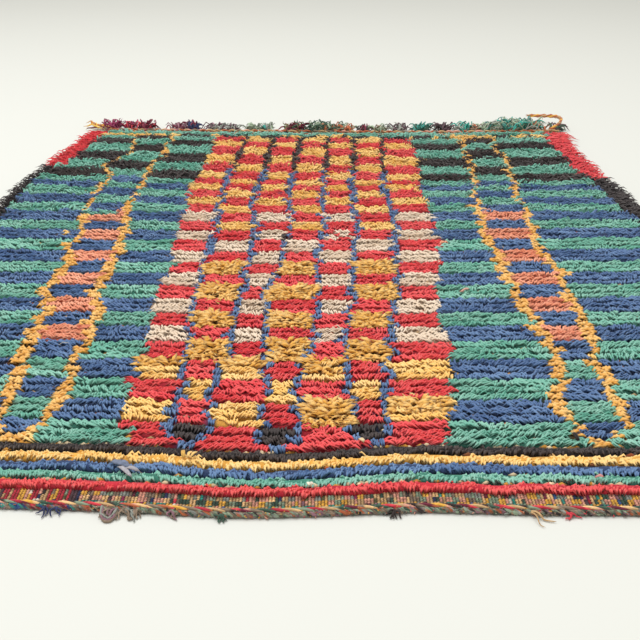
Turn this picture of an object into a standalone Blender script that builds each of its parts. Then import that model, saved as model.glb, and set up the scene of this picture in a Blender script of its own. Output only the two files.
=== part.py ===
"""A boucherouite rug that lies flat: knotted wool pile on a woven ground, with side locks,
a flat-woven band at each end, a rolled and twined braid along the near end and a fringe of
bunched yarn ends along the far end.

Metres, +Z up. The rug lies on z = 0. The braid is towards -Y and the fringe towards +Y, and the
middle of its bounding box is over the origin. Inside this file v is the distance along the rug
from the outer side of the braid, and x the distance across it from its middle line.
"""

import math
import random
from collections import namedtuple

import bmesh
import bpy
import numpy as np

# Plan of the cloth
CLOTH_START = 0.0118
CLOTH_END = 1.9650
PILE_START = 0.034
PILE_END = 1.9070
PILE_ROWS = 90
HALF_SPAN = 0.775
FRINGE_END = 2.085
TAIL_END = -0.012
PARTING = 0.0003

# Heights above the floor
BAND_THICKNESS = 0.005
RIM_HEIGHT = 0.007
VALLEY_HEIGHT = 0.0105
CREST_HEIGHT = 0.0170
SHAG_RISE = 0.0065
LUMP = 0.0022
LOCK_TIP_HEIGHT = 0.0035

# The slopes between the flat-woven bands and the pile
NEAR_SLOPE = 0.003
FAR_SLOPE = 0.006

# Side locks, one for each row of knots
LOCK_SHORTEST = 0.008
LOCK_LONGEST = 0.030
CREST_SHARE = 0.42

# Lines along the rug: the fields, the two ladders and, in the middle panel, one line for each
# odd column and two for each even one
COLUMN_LINES = (
    -0.690, -0.610, -0.520, -0.420, -0.355, -0.295, -0.258, -0.212, -0.160, -0.116, -0.072, -0.018,
    0.030, 0.078, 0.128, 0.182, 0.220, 0.295, 0.370, 0.465, 0.540, 0.610, 0.690,
)

# Where the woven sides run, seen from above
Station = namedtuple("Station", "v left right")
SIDES = (
    Station(0.00, -0.728, 0.732),
    Station(0.70, -0.738, 0.740),
    Station(1.30, -0.748, 0.748),
    Station(1.55, -0.722, 0.728),
    Station(1.78, -0.700, 0.722),
    Station(2.00, -0.664, 0.750),
)

# Cells of long, shaggy knots, which stand above the rest
Patch = namedtuple("Patch", "x_from x_to v_from v_to")
SHAG_COLUMNS = ((-0.220, -0.150), (-0.080, -0.010), (0.070, 0.135))
SHAG_BANDS = ((0.394, 0.461), (0.520, 0.575), (0.638, 0.701), (0.762, 0.820))
SHAG_PATCHES = tuple(
    Patch(x_from, x_to, v_from, v_to)
    for x_from, x_to in SHAG_COLUMNS
    for v_from, v_to in SHAG_BANDS
) + (
    Patch(-0.030, 0.050, 0.335, 0.385),
    Patch(0.000, 0.055, 0.205, 0.280),
    Patch(0.150, 0.210, 0.225, 0.290),
)

# Fringe
STRIP_WIDTH = 0.014
STRIP_THICKNESS = 0.006
BUNCHES = 30
STRANDS_IN_BUNCH = 4
STRAND_SPACING = 0.0085
STRAND_FAN = 0.003
STRAND_CURL = 0.0025
STRAND_CURL_TURN = 1.4 * math.pi
STRAND_UNEVEN = 0.15
STRAND_SKEW = 0.0008
STRIP_MARGIN = 0.004
SHOULDER = 0.0006
STRAND_SHORTFALL = 0.004
STRAND_SHORTEST = 0.055
STRAND_LONGEST = 0.105
FRINGE_LEFT = -0.640
FRINGE_RIGHT = 0.705
Ring = namedtuple("Ring", "along width height")
STRAND_RINGS = (
    Ring(0.00, 0.0064, STRIP_THICKNESS),
    Ring(0.35, 0.0078, 0.0110),
    Ring(0.72, 0.0066, 0.0090),
    Ring(1.00, 0.0026, 0.0030),
)
Corner = namedtuple("Corner", "x swing length")
CORNER_STRANDS = (Corner(-0.655, -0.070, 0.080), Corner(0.725, 0.025, 0.085))

# Braid along the near end
BRAID_RADIUS = 0.0058
BRAID_MIDDLE_HEIGHT = 0.0052
BRAID_LOBE = 0.17
BRAID_STEP = 0.010
BRAID_LOBE_PITCH = 0.030
BRAID_SIDES = 6
BRAID_FIRST_CORNER = 30
BRAID_OUTER_SIDE = 2
BRAID_MARGIN = 0.004
TailRing = namedtuple("TailRing", "along half low high")
TAIL_RINGS = (
    TailRing(0.45, 0.0030, 0.0006, 0.0056),
    TailRing(1.00, 0.0016, 0.0, 0.0028),
)
Tail = namedtuple("Tail", "x swing length")
TAILS = (
    Tail(-0.350, 0.012, 0.016),
    Tail(-0.320, -0.010, 0.015),
    Tail(-0.262, -0.006, 0.020),
    Tail(-0.238, 0.006, 0.022),
    Tail(-0.205, 0.004, 0.008),
    Tail(0.090, -0.004, 0.016),
    Tail(0.255, 0.014, 0.012),
    Tail(0.300, 0.004, 0.011),
)

# How far the woven rows stray from straight lines
NEAR_SAG = 0.016
NEAR_SAG_AT = -0.070
NEAR_SAG_WIDTH = 0.130
NEAR_BUMP = 0.006
NEAR_BUMP_AT = 0.130
NEAR_BUMP_WIDTH = 0.070
NEAR_FADE = (0.15, 0.42)
NEAR_SHARE_AT_EDGE = 0.45
NEAR_SHARE_WHOLE_AT = 0.12
FAR_TILT = 0.045
FAR_TILT_RISE = (1.15, 1.62)
FAR_TILT_EASE = (1.72, 1.95)
FAR_TILT_LEFT_AT_END = 0.45
LEAN_LEFT_SPAN = 0.62
LEAN_RIGHT_SPAN = 0.70
LEAN_RIGHT_DEPTH = 0.5

# How many millimetres further a row lies at each of these lines along the rug, as it was beaten
# in unevenly by hand
SHIFT_LINES = (-0.69, -0.42, -0.295, -0.116, 0.128, 0.295, 0.54, 0.69)
RowShift = namedtuple(
    "RowShift", "v far_left left panel_left middle_left middle_right panel_right right far_right"
)
ROW_SHIFTS = (
    RowShift(0.00, 18, 16, 12, 6, 6, 2, 0, 0),
    RowShift(0.11, 18, 17, 14, 7, 5, 4, 2, 2),
    RowShift(0.31, 16, 13, 10, 7, 5, 6, 5, 5),
    RowShift(0.55, 18, 14, 11, 1, 3, 9, 15, 15),
    RowShift(0.75, 20, 15, 12, 3, 8, 10, 19, 19),
    RowShift(0.95, 24, 10, 8, 9, 9, 14, 22, 24),
    RowShift(1.08, 16, 8, 2, 5, 2, 10, 18, 20),
    RowShift(1.19, 18, 8, -2, -10, -10, 0, 2, 0),
    RowShift(1.30, 28, 2, -7, -12, -8, 2, -5, -8),
    RowShift(1.41, 24, 0, 0, -1, 5, -2, -6, 0),
    RowShift(1.52, 22, 4, 5, 1, 11, 1, 0, 4),
    RowShift(1.63, 8, 2, 0, -5, 5, 2, -4, -4),
    RowShift(1.74, 10, 5, 0, -3, 8, 4, 3, 4),
    RowShift(1.85, 18, 2, 0, -3, 0, 6, 18, 16),
    RowShift(1.96, 8, 2, 0, 0, 0, 2, 6, 6),
)

MIDDLE_V = (FRINGE_END + TAIL_END) / 2


def smooth_step(value, start, end):
    """0 before start, 1 after end, and an easy curve between them."""
    t = min(1.0, max(0.0, (value - start) / (end - start)))
    return t * t * (3 - 2 * t)


def bell(x, middle, width):
    return math.exp(-(((x - middle) / width) ** 2))


def row_shift(x, v):
    """The uneven part of a row's place, read between the lines and rows of the table."""
    shifts = [np.interp(x, SHIFT_LINES, row[1:]) for row in ROW_SHIFTS]
    return float(np.interp(v, [row.v for row in ROW_SHIFTS], shifts)) / 1000


def row_wave(x, v):
    """How far a woven row lies beyond v at x: it sags near the braid and leans at the far end."""
    near = 1 - smooth_step(v, *NEAR_FADE)
    near_share = NEAR_SHARE_AT_EDGE
    near_share += (1 - NEAR_SHARE_AT_EDGE) * smooth_step(v, 0.0, NEAR_SHARE_WHOLE_AT)
    sag = NEAR_BUMP * bell(x, NEAR_BUMP_AT, NEAR_BUMP_WIDTH)
    sag -= NEAR_SAG * bell(x, NEAR_SAG_AT, NEAR_SAG_WIDTH)
    tilt = FAR_TILT * smooth_step(v, *FAR_TILT_RISE)
    tilt *= 1 - (1 - FAR_TILT_LEFT_AT_END) * smooth_step(v, *FAR_TILT_EASE)
    if x < 0:
        lean = -x / LEAN_LEFT_SPAN
    else:
        lean = -LEAN_RIGHT_DEPTH * math.sin(math.pi * min(1.0, x / LEAN_RIGHT_SPAN))
    return near * near_share * sag + tilt * lean + row_shift(x, v)


def side_at(v):
    """The woven cloth's left and right x at v, eased between the stations."""
    for low, high in zip(SIDES, SIDES[1:]):
        if v <= high.v:
            break
    t = smooth_step(v, low.v, high.v)
    return low.left + (high.left - low.left) * t, low.right + (high.right - low.right) * t


def placed(x, v, z):
    """A point of the rug in the part's own frame."""
    return (x, v + row_wave(x, v) - MIDDLE_V, z)


def shag_rise(x, v):
    """How much higher the pile stands at x and v because its knots are long ones."""
    inside = any(
        patch.x_from <= x <= patch.x_to and patch.v_from <= v <= patch.v_to
        for patch in SHAG_PATCHES
    )
    return SHAG_RISE if inside else 0.0


def wool(name, colour, roughness):
    """A dull wool material."""
    material = bpy.data.materials.new(name)
    material.use_nodes = True
    shader = material.node_tree.nodes["Principled BSDF"]
    shader.inputs["Base Color"].default_value = (*colour, 1.0)
    shader.inputs["Roughness"].default_value = roughness
    shader.inputs["Metallic"].default_value = 0.0
    return material


def object_from(name, mesh_builder, material):
    """Turns a bmesh of one closed body into a named object with its material."""
    bmesh.ops.recalc_face_normals(mesh_builder, faces=mesh_builder.faces)
    mesh = bpy.data.meshes.new(name)
    mesh_builder.to_mesh(mesh)
    mesh_builder.free()
    mesh.materials.append(material)
    made = bpy.data.objects.new(name, mesh)
    bpy.context.scene.collection.objects.link(made)
    return made


def pile_line(rng, v, left, right, rim_height, middle_height, lump):
    """One line of the slab's top across the rug, from the left rim to the right rim."""
    points = [placed(left, v, rim_height)]
    for x in COLUMN_LINES:
        height = middle_height + shag_rise(x, v) * (middle_height > VALLEY_HEIGHT)
        points.append(placed(x, v, height + rng.uniform(-lump, lump)))
    points.append(placed(right, v, rim_height))
    return points


def body_lines():
    """The top of the rug from the near to the far edge, with a valley and a crest for each row."""
    rng = random.Random(4)
    pitch = (PILE_END - PILE_START) / PILE_ROWS
    lines = []
    for v in (CLOTH_START, PILE_START - NEAR_SLOPE):
        left, right = side_at(v)
        lines.append(pile_line(rng, v, left, right, BAND_THICKNESS, BAND_THICKNESS, 0.0))
    for row in range(PILE_ROWS):
        valley_v = PILE_START + row * pitch
        left, right = side_at(valley_v)
        lines.append(pile_line(rng, valley_v, left, right, RIM_HEIGHT, VALLEY_HEIGHT, LUMP / 2))
        crest_v = valley_v + CREST_SHARE * pitch
        left, right = side_at(crest_v)
        left = max(-HALF_SPAN, left - rng.uniform(LOCK_SHORTEST, LOCK_LONGEST))
        right = min(HALF_SPAN, right + rng.uniform(LOCK_SHORTEST, LOCK_LONGEST))
        lines.append(pile_line(rng, crest_v, left, right, LOCK_TIP_HEIGHT, CREST_HEIGHT, LUMP))
    for v in (PILE_END, PILE_END + FAR_SLOPE, CLOTH_END):
        left, right = side_at(v)
        lines.append(pile_line(rng, v, left, right, BAND_THICKNESS, BAND_THICKNESS, 0.0))
    return lines


def add_body(material):
    """The pile slab: a grid of crests and valleys over a flat underside."""
    builder = bmesh.new()
    top = [[builder.verts.new(point) for point in line] for line in body_lines()]
    low = []
    for index, line in enumerate(top):
        whole = index in (0, len(top) - 1)
        feet = line if whole else (line[0], line[-1])
        low.append([builder.verts.new((vert.co.x, vert.co.y, 0.0)) for vert in feet])
    for line, following in zip(top, top[1:]):
        for a, b, c, d in zip(line, line[1:], following[1:], following):
            builder.faces.new((a, b, c, d))
    for index in range(len(top) - 1):
        line, following = top[index], top[index + 1]
        feet, next_feet = low[index], low[index + 1]
        builder.faces.new((line[0], following[0], next_feet[0], feet[0]))
        builder.faces.new((following[-1], line[-1], feet[-1], next_feet[-1]))
        builder.faces.new([*feet, *reversed(next_feet)][::-1])
    for line, feet in ((top[0], low[0]), (top[-1][::-1], low[-1][::-1])):
        for a, b, c, d in zip(line, line[1:], feet[1:], feet):
            builder.faces.new((a, d, c, b))
    return object_from("rug_body", builder, material)


def grow_strand(builder, root, rings):
    """Continues a root face's four corners through more rings and closes the tip."""
    last = root
    for ring in rings:
        made = [builder.verts.new(point) for point in ring]
        for k in range(4):
            builder.faces.new((last[k], last[(k + 1) % 4], made[(k + 1) % 4], made[k]))
        last = made
    builder.faces.new(last)


def strand_rings(rng, x_root, fan, curl, length):
    """The later rings of a strand that lies on the floor from its root on the strip."""
    rings = []
    start_v = CLOTH_END + PARTING + STRIP_WIDTH + row_wave(x_root, CLOTH_END)
    if start_v + length > FRINGE_END:
        length = FRINGE_END - start_v - rng.uniform(0.0, STRAND_SHORTFALL)
    for ring in STRAND_RINGS[1:]:
        x = x_root + fan * ring.along + curl * math.sin(STRAND_CURL_TURN * ring.along)
        y = start_v + length * ring.along - MIDDLE_V
        height = ring.height * rng.uniform(1 - STRAND_UNEVEN, 1 + STRAND_UNEVEN)
        skew = rng.uniform(-STRAND_SKEW, STRAND_SKEW)
        left, right = x - ring.width / 2, x + ring.width / 2
        low = ((left, y - skew, 0.0), (right, y + skew, 0.0))
        high = ((right - SHOULDER, y + skew / 2, height), (left + SHOULDER, y - skew / 2, height))
        rings.append(low + high)
    return rings


def fringe_strands():
    """(root x, later rings) of each strand from left to right, with a loose one at each corner."""
    rng = random.Random(11)
    strands = []

    def add_corner(corner):
        strands.append((corner.x, strand_rings(rng, corner.x, corner.swing, 0.0, corner.length)))

    add_corner(CORNER_STRANDS[0])
    pitch = (FRINGE_RIGHT - FRINGE_LEFT) / BUNCHES
    for bunch in range(BUNCHES):
        middle = FRINGE_LEFT + (bunch + 0.5) * pitch
        curl = rng.uniform(-STRAND_CURL, STRAND_CURL)
        for number in range(STRANDS_IN_BUNCH):
            place = number - (STRANDS_IN_BUNCH - 1) / 2
            x_root = middle + place * STRAND_SPACING
            length = rng.uniform(STRAND_SHORTEST, STRAND_LONGEST)
            strands.append((x_root, strand_rings(rng, x_root, place * STRAND_FAN, curl, length)))
    add_corner(CORNER_STRANDS[1])
    return strands


def add_fringe(material):
    """A narrow woven strip with every strand grown from its own stretch of the strip's far face."""
    builder = bmesh.new()
    strands = fringe_strands()
    half = STRAND_RINGS[0].width / 2
    near_v = CLOTH_END + PARTING
    far_v = near_v + STRIP_WIDTH
    section = (
        (near_v, 0.0), (near_v, STRIP_THICKNESS), (far_v, STRIP_THICKNESS), (far_v, 0.0),
    )

    def column(x):
        lean = row_wave(x, CLOTH_END)
        return [builder.verts.new((x, v + lean - MIDDLE_V, z)) for v, z in section]

    def join(left, right, leave_far_open):
        sides = (0, 1, 3) if leave_far_open else (0, 1, 2, 3)
        for k in sides:
            builder.faces.new((left[k], left[(k + 1) % 4], right[(k + 1) % 4], right[k]))

    last = column(strands[0][0] - half - STRIP_MARGIN)
    builder.faces.new(last)
    for x_root, rings in strands:
        left = column(x_root - half)
        right = column(x_root + half)
        join(last, left, False)
        join(left, right, True)
        grow_strand(builder, (left[3], right[3], right[2], left[2]), rings)
        last = right
    end = column(strands[-1][0] + half + STRIP_MARGIN)
    join(last, end, False)
    builder.faces.new(end[::-1])
    return object_from("fringe_far", builder, material)


def braid_ring(x):
    """One ring of the braid: a six-sided section with two lobes that turn along its length."""
    middle_v = CLOTH_START - PARTING - BRAID_RADIUS
    turn = math.pi * x / BRAID_LOBE_PITCH
    points = []
    for side in range(BRAID_SIDES):
        angle = math.radians(BRAID_FIRST_CORNER + side * 360 / BRAID_SIDES)
        radius = BRAID_RADIUS * (1 - BRAID_LOBE * (1 - math.cos(2 * (angle - turn))) / 2)
        v = middle_v + radius * math.cos(angle)
        z = max(0.0, BRAID_MIDDLE_HEIGHT + radius * math.sin(angle))
        points.append((x, v + row_wave(x, CLOTH_START) - MIDDLE_V, z))
    return points


def tail_rings(corners, tail):
    """The rings of a loose end that drops from the braid to the floor."""
    y_root = sum(corner.co.y for corner in corners) / 4
    y_tip = max(TAIL_END - MIDDLE_V, y_root - tail.length)
    rings = []
    for ring in TAIL_RINGS:
        left = tail.x + tail.swing * ring.along - ring.half
        right = left + 2 * ring.half
        y = y_root + (y_tip - y_root) * ring.along
        low, high = ring.low, ring.high
        rings.append(((left, y, low), (right, y, low), (right, y, high), (left, y, high)))
    return rings


def add_braid(material):
    """The rolled edge with its twist, and the loose ends that leave its outer side."""
    builder = bmesh.new()
    left, right = side_at(0.0)
    start = left + BRAID_MARGIN
    steps = round((right - BRAID_MARGIN - start) / BRAID_STEP)
    stations = [start + step * BRAID_STEP for step in range(steps + 1)]
    rings = [[builder.verts.new(point) for point in braid_ring(x)] for x in stations]
    tails = {int((tail.x - start) / BRAID_STEP): tail for tail in TAILS}
    for index, (ring, following) in enumerate(zip(rings, rings[1:])):
        for side in range(BRAID_SIDES):
            after = (side + 1) % BRAID_SIDES
            if side == BRAID_OUTER_SIDE and index in tails:
                corners = (ring[after], following[after], following[side], ring[side])
                grow_strand(builder, corners, tail_rings(corners, tails[index]))
            else:
                builder.faces.new((ring[side], ring[after], following[after], following[side]))
    builder.faces.new(rings[0])
    builder.faces.new(rings[-1][::-1])
    return object_from("edge_braid_near", builder, material)


def clear_scene():
    for old in list(bpy.data.objects):
        bpy.data.objects.remove(old, do_unlink=True)


clear_scene()
add_body(wool("teal_wool_pile", (0.12, 0.42, 0.33), 0.95))
add_fringe(wool("grey_green_yarn_ends", (0.09, 0.13, 0.11), 0.92))
add_braid(wool("mixed_yarn_braid", (0.22, 0.12, 0.08), 0.92))
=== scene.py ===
"""A boucherouite rug that lies on a pale floor, dressed in the order in which it is made: the woven
ground, the knotted pile with its side locks, the flat-woven ends, the braid and the fringe.

Lengths are in metres. v is the distance along the rug from the outer side of the braid, and x the
distance across it from its middle line.
"""

import math
from collections import namedtuple

import bpy
import numpy as np
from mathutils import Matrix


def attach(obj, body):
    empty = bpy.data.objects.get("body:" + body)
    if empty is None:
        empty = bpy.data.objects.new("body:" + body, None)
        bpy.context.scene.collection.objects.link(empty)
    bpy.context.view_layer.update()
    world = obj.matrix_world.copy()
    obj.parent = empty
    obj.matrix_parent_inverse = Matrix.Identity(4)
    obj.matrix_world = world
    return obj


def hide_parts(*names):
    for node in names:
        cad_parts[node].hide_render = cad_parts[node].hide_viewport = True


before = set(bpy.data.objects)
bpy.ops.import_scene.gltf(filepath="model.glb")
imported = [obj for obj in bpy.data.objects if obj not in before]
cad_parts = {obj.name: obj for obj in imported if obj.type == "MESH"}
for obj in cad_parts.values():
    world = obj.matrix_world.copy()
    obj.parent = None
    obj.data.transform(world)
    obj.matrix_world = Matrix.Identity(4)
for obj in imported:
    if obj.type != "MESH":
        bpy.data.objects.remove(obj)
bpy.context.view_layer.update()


# The woven ground is a plain cloth of wool warps under thick ochre and brown wefts, 3 mm thick.
# It was beaten in by hand, so its rows sag near the braid and lean at the far end, and it shows only
# between the rows of knots, where its browns are darkened as painted shade. The cloth lies flat on the
# floor.


def table(columns, *rows):
    """The rows of a short table, each with its values under the named columns."""
    Row = namedtuple("Row", columns)
    return [Row(*row) for row in rows]


SIDES = table(
    "v left right",
    (0.00, -0.728, 0.732),
    (0.70, -0.738, 0.740),
    (1.30, -0.748, 0.748),
    (1.55, -0.722, 0.728),
    (1.78, -0.700, 0.722),
    (2.00, -0.664, 0.750),
)
CLOTH_START = 0.0118
CLOTH_END = 1.9650
FRINGE_END = 2.085
TAIL_END = -0.012
MIDDLE_V = (FRINGE_END + TAIL_END) / 2

GROUND_THICKNESS = 0.003
GROUND_UNEVEN = 0.0004
GROUND_ACROSS = 44
GROUND_ALONG = 64
WEFT_PITCH = 0.004
MM_IN_M = 1000

# How many millimetres further a row lies at each of these lines along the rug, as it was beaten
# in unevenly by hand
SHIFT_LINES = (-0.69, -0.42, -0.295, -0.116, 0.128, 0.295, 0.54, 0.69)
ROW_SHIFTS = table(
    "v far_left left panel_left middle_left middle_right panel_right right far_right",
    (0.00, 18, 16, 12, 6, 6, 2, 0, 0),
    (0.11, 18, 17, 14, 7, 5, 4, 2, 2),
    (0.31, 16, 13, 10, 7, 5, 6, 5, 5),
    (0.55, 18, 14, 11, 1, 3, 9, 15, 15),
    (0.75, 20, 15, 12, 3, 8, 10, 19, 19),
    (0.95, 24, 10, 8, 9, 9, 14, 22, 24),
    (1.08, 16, 8, 2, 5, 2, 10, 18, 20),
    (1.19, 18, 8, -2, -10, -10, 0, 2, 0),
    (1.30, 28, 2, -7, -12, -8, 2, -5, -8),
    (1.41, 24, 0, 0, -1, 5, -2, -6, 0),
    (1.52, 22, 4, 5, 1, 11, 1, 0, 4),
    (1.63, 8, 2, 0, -5, 5, 2, -4, -4),
    (1.74, 10, 5, 0, -3, 8, 4, 3, 4),
    (1.85, 18, 2, 0, -3, 0, 6, 18, 16),
    (1.96, 8, 2, 0, 0, 0, 2, 6, 6),
)


def smooth_step(value, start, end):
    """0 before start, 1 after end, and an easy curve between them."""
    t = np.clip((value - start) / (end - start), 0.0, 1.0)
    return t * t * (3 - 2 * t)


def bell(x, middle, width):
    return np.exp(-(((x - middle) / width) ** 2))


def row_shift(x, v):
    """The uneven part of a row's place, read between the lines and rows of the table."""
    x, v = np.broadcast_arrays(x, v)
    shifts, lines = np.array(ROW_SHIFTS), np.array(SHIFT_LINES)
    row = np.clip(np.searchsorted(shifts[:, 0], v) - 1, 0, len(shifts) - 2)
    line = np.clip(np.searchsorted(lines, x) - 1, 0, len(lines) - 2)
    along = np.clip((v - shifts[row, 0]) / (shifts[row + 1, 0] - shifts[row, 0]), 0, 1)
    over = np.clip((x - lines[line]) / (lines[line + 1] - lines[line]), 0, 1)
    near = shifts[row, line + 1] * (1 - over) + shifts[row, line + 2] * over
    far = shifts[row + 1, line + 1] * (1 - over) + shifts[row + 1, line + 2] * over
    return (near * (1 - along) + far * along) / MM_IN_M


def row_wave(x, v):
    """How far a woven row lies beyond v at x: it sags near the braid and leans at the far end."""
    near = 1 - smooth_step(v, 0.15, 0.42)
    near_share = 0.45 + 0.55 * smooth_step(v, 0.0, 0.12)
    sag = 0.006 * bell(x, 0.130, 0.070) - 0.016 * bell(x, -0.070, 0.130)
    tilt = 0.045 * smooth_step(v, 1.15, 1.62) * (1 - 0.55 * smooth_step(v, 1.72, 1.95))
    right_lean = -0.5 * np.sin(math.pi * np.clip(x / 0.70, 0.0, 1.0))
    lean = np.where(x < 0, -x / 0.62, right_lean)
    slack = -0.0015 - 0.0030 * smooth_step(x, -0.50, -0.30) - 0.0025 * bell(x, -0.110, 0.110)
    slack = slack * (1 - smooth_step(v, 0.0, 0.045))
    return near * near_share * sag + tilt * lean + row_shift(x, v) + slack


def sides_at(v):
    """The woven cloth's left and right x at v, eased between the stations."""
    sides = np.array(SIDES)
    low = np.clip(np.searchsorted(sides[:, 0], v) - 1, 0, len(sides) - 2)
    t = smooth_step(v, sides[low, 0], sides[low + 1, 0])
    return [sides[low, side] + (sides[low + 1, side] - sides[low, side]) * t for side in (1, 2)]


def placed(x, v, z):
    """Points of the rug in the part's own frame, one a row."""
    x, v, z = np.broadcast_arrays(x, v, z)
    return np.stack([x, v + row_wave(x, v) - MIDDLE_V, z], axis=-1)


def drift(x, v, size_x, size_v, seed):
    """A slow wander between about -1 and 1 over patches of that size, the same each run."""
    rng = np.random.default_rng(seed)
    total = 0.0
    for _ in range(4):
        turn_x, turn_v, phase = rng.uniform((0.5, 0.5, 0.0), (1.3, 1.3, 2 * math.pi))
        flip = rng.choice((-1, 1))
        total = total + np.sin(2 * math.pi * (turn_x * x / size_x + flip * turn_v * v / size_v) + phase)
    return total / 2.2


def add_mesh(name, points, corners, sizes, material, smooth=True, **details):
    """A mesh object from its points and its faces' corners; details are values for each point."""
    mesh = bpy.data.meshes.new(name)
    mesh.vertices.add(len(points))
    mesh.vertices.foreach_set("co", np.asarray(points, np.float32).ravel())
    mesh.loops.add(len(corners))
    mesh.loops.foreach_set("vertex_index", np.asarray(corners, np.int32))
    starts = np.concatenate(([0], np.cumsum(sizes)[:-1])).astype(np.int32)
    mesh.polygons.add(len(sizes))
    mesh.polygons.foreach_set("loop_start", starts)
    mesh.update(calc_edges=True)
    for detail, values in details.items():
        values = np.asarray(values, np.float32)
        kind, field = ("FLOAT_COLOR", "color") if values.shape[-1] == 4 else ("FLOAT_VECTOR", "vector")
        attribute = mesh.attributes.new(detail, kind, "POINT")
        attribute.data.foreach_set(field, values.ravel())
    if smooth:
        mesh.shade_smooth()
    mesh.materials.append(material)
    made = bpy.data.objects.new(name, mesh)
    bpy.context.scene.collection.objects.link(made)
    return made


def linear(hex_colour):
    """An sRGB hex colour as linear red, green, blue and 1."""
    parts = [int(hex_colour[k : k + 2], 16) / 255 for k in (1, 3, 5)]
    return (*[p / 12.92 if p <= 0.04045 else ((p + 0.055) / 1.055) ** 2.4 for p in parts], 1.0)


def add_node(tree, kind, settings=None, values=None, links=None):
    """A shader node with its settings, the values of its inputs and the links that feed it."""
    node = tree.nodes.new(kind)
    for name, value in (settings or {}).items():
        setattr(node, name, value)
    for name, value in (values or {}).items():
        node.inputs[name].default_value = value
    for name, source in (links or {}).items():
        tree.links.new(source, node.inputs[name])
    return node


def blank_wool(name, roughness, sheen):
    """A new wool material, its node tree and its shader. Wool fibre has an IOR near 1.55."""
    material = bpy.data.materials.new(name)
    material.use_nodes = True
    tree = material.node_tree
    shader = tree.nodes["Principled BSDF"]
    shader.inputs["Roughness"].default_value = roughness
    shader.inputs["IOR"].default_value = 1.55
    shader.inputs["Specular IOR Level"].default_value = 0.25
    shader.inputs["Sheen Weight"].default_value = sheen
    shader.inputs["Sheen Roughness"].default_value = 0.6
    return material, tree, shader


def set_stops(ramp, stops):
    """Gives a colour ramp its (place, hex colour) stops."""
    elements = ramp.color_ramp.elements
    while len(elements) < len(stops):
        elements.new(0.5)
    for element, (place, colour) in zip(elements, stops):
        element.position = place
        element.color = linear(colour)


def woven_ground_wool():
    """Ribbed weft-faced plain weave in ochre, rust and brown, its browns darkened as painted shade for
    the gaps between the rows where it shows: dull, with a thread-scale ribbing.
    """
    material, tree, shader = blank_wool("plain_woven_wool", 0.95, 0.1)
    place = add_node(tree, "ShaderNodeTexCoord")
    patches = add_node(
        tree, "ShaderNodeTexNoise", values={"Scale": 38.0, "Detail": 3.0},
        links={"Vector": place.outputs["Object"]},
    )
    ribs = add_node(
        tree, "ShaderNodeTexWave", {"wave_type": "BANDS", "bands_direction": "Y"},
        {"Scale": 1 / WEFT_PITCH / (2 * math.pi) * 2, "Distortion": 1.5, "Detail": 2.0},
        {"Vector": place.outputs["Object"]},
    )
    dye = add_node(tree, "ShaderNodeValToRGB", links={"Fac": patches.outputs["Fac"]})
    # Painted shade: the dark brown stops are far darker than the wefts, for the deep gaps between rows;
    # the rust stop is the wefts' own colour.
    set_stops(dye, ((0.34, "#2B1D17"), (0.50, "#3D2A1F"), (0.62, "#6E4828"), (0.74, "#47291F")))
    raised = add_node(
        tree, "ShaderNodeBump", values={"Strength": 0.8, "Distance": 0.0015},
        links={"Height": ribs.outputs["Fac"]},
    )
    tree.links.new(dye.outputs["Color"], shader.inputs["Base Color"])
    tree.links.new(raised.outputs["Normal"], shader.inputs["Normal"])
    return material


def add_ground():
    v = np.linspace(CLOTH_START + 0.0005, CLOTH_END, GROUND_ALONG)[:, None]
    left, right = sides_at(v)
    x = left + (right - left) * np.linspace(0.0, 1.0, GROUND_ACROSS)[None, :]
    v = np.broadcast_to(v, x.shape)
    top_z = GROUND_THICKNESS + GROUND_UNEVEN * drift(x, v, 0.07, 0.05, 3)
    top = placed(x, v, top_z).reshape(-1, 3)
    under = placed(x, v, 0.0).reshape(-1, 3)
    index = np.arange(x.size).reshape(x.shape)
    a, b = index[:-1, :-1], index[:-1, 1:]
    c, d = index[1:, 1:], index[1:, :-1]
    faces = [np.stack([a, b, c, d], -1).reshape(-1, 4)]
    faces.append(np.stack([d, c, b, a], -1).reshape(-1, 4) + x.size)
    rim = np.concatenate([index[0, :-1], index[:-1, -1], index[-1, :0:-1], index[:0:-1, 0]])
    after = np.roll(rim, -1)
    faces.append(np.stack([after, rim, rim + x.size, after + x.size], -1))
    faces = np.concatenate(faces)
    sizes = np.full(len(faces), 4)
    return add_mesh(
        "woven_ground", np.concatenate([top, under]), faces.ravel(), sizes, woven_ground_wool()
    )


ground = add_ground()
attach(ground, "root")
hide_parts("rug_body")

# The knotted pile is hand-spun wool, knotted round the warps in 90 rows about 21 mm apart. Each
# knot is a tuft of four to twelve locks, which lean over their neighbours and close the row into
# a ridge. Near the braid the locks are combed sideways, and at the far end they stand up more.

# The bands of rows from the near end: where each ends, how many rows it has and its stripe's colour
PILE_SHOWS_FROM = 0.036
BORDER_BANDS = table(
    "end rows stripe",
    (0.0550, 1, "red"),
    (0.0750, 1, "green"),
    (0.0980, 1, "blue"),
    (0.1210, 1, "gold"),
    (0.1400, 1, "black"),
)
FIELD_BANDS = table(
    "end rows stripe",
    (0.202, 3, "green"), (0.265, 3, "blue"), (0.329, 3, "green"),
    (0.394, 3, "blue"), (0.461, 3, "green"), (0.520, 3, "blue"),
    (0.575, 3, "green"), (0.638, 3, "blue"), (0.701, 3, "green"),
    (0.762, 3, "blue"), (0.820, 3, "green"), (0.886, 3, "blue"),
    (0.952, 3, "green"), (1.020, 3, "blue"), (1.079, 3, "green"),
    (1.147, 3, "blue"), (1.206, 3, "green"), (1.262, 3, "blue"),
    (1.320, 3, "green"), (1.364, 2, "blue"), (1.405, 2, "green"),
    (1.469, 3, "black"), (1.546, 4, "green"), (1.640, 4, "black"),
    (1.722, 4, "green"), (1.786, 3, "black"), (1.837, 3, "green"),
)
FAR_BANDS = table(
    "end rows stripe",
    (1.862, 1, "dots"),
    (1.905, 2, "green"),
)

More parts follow.
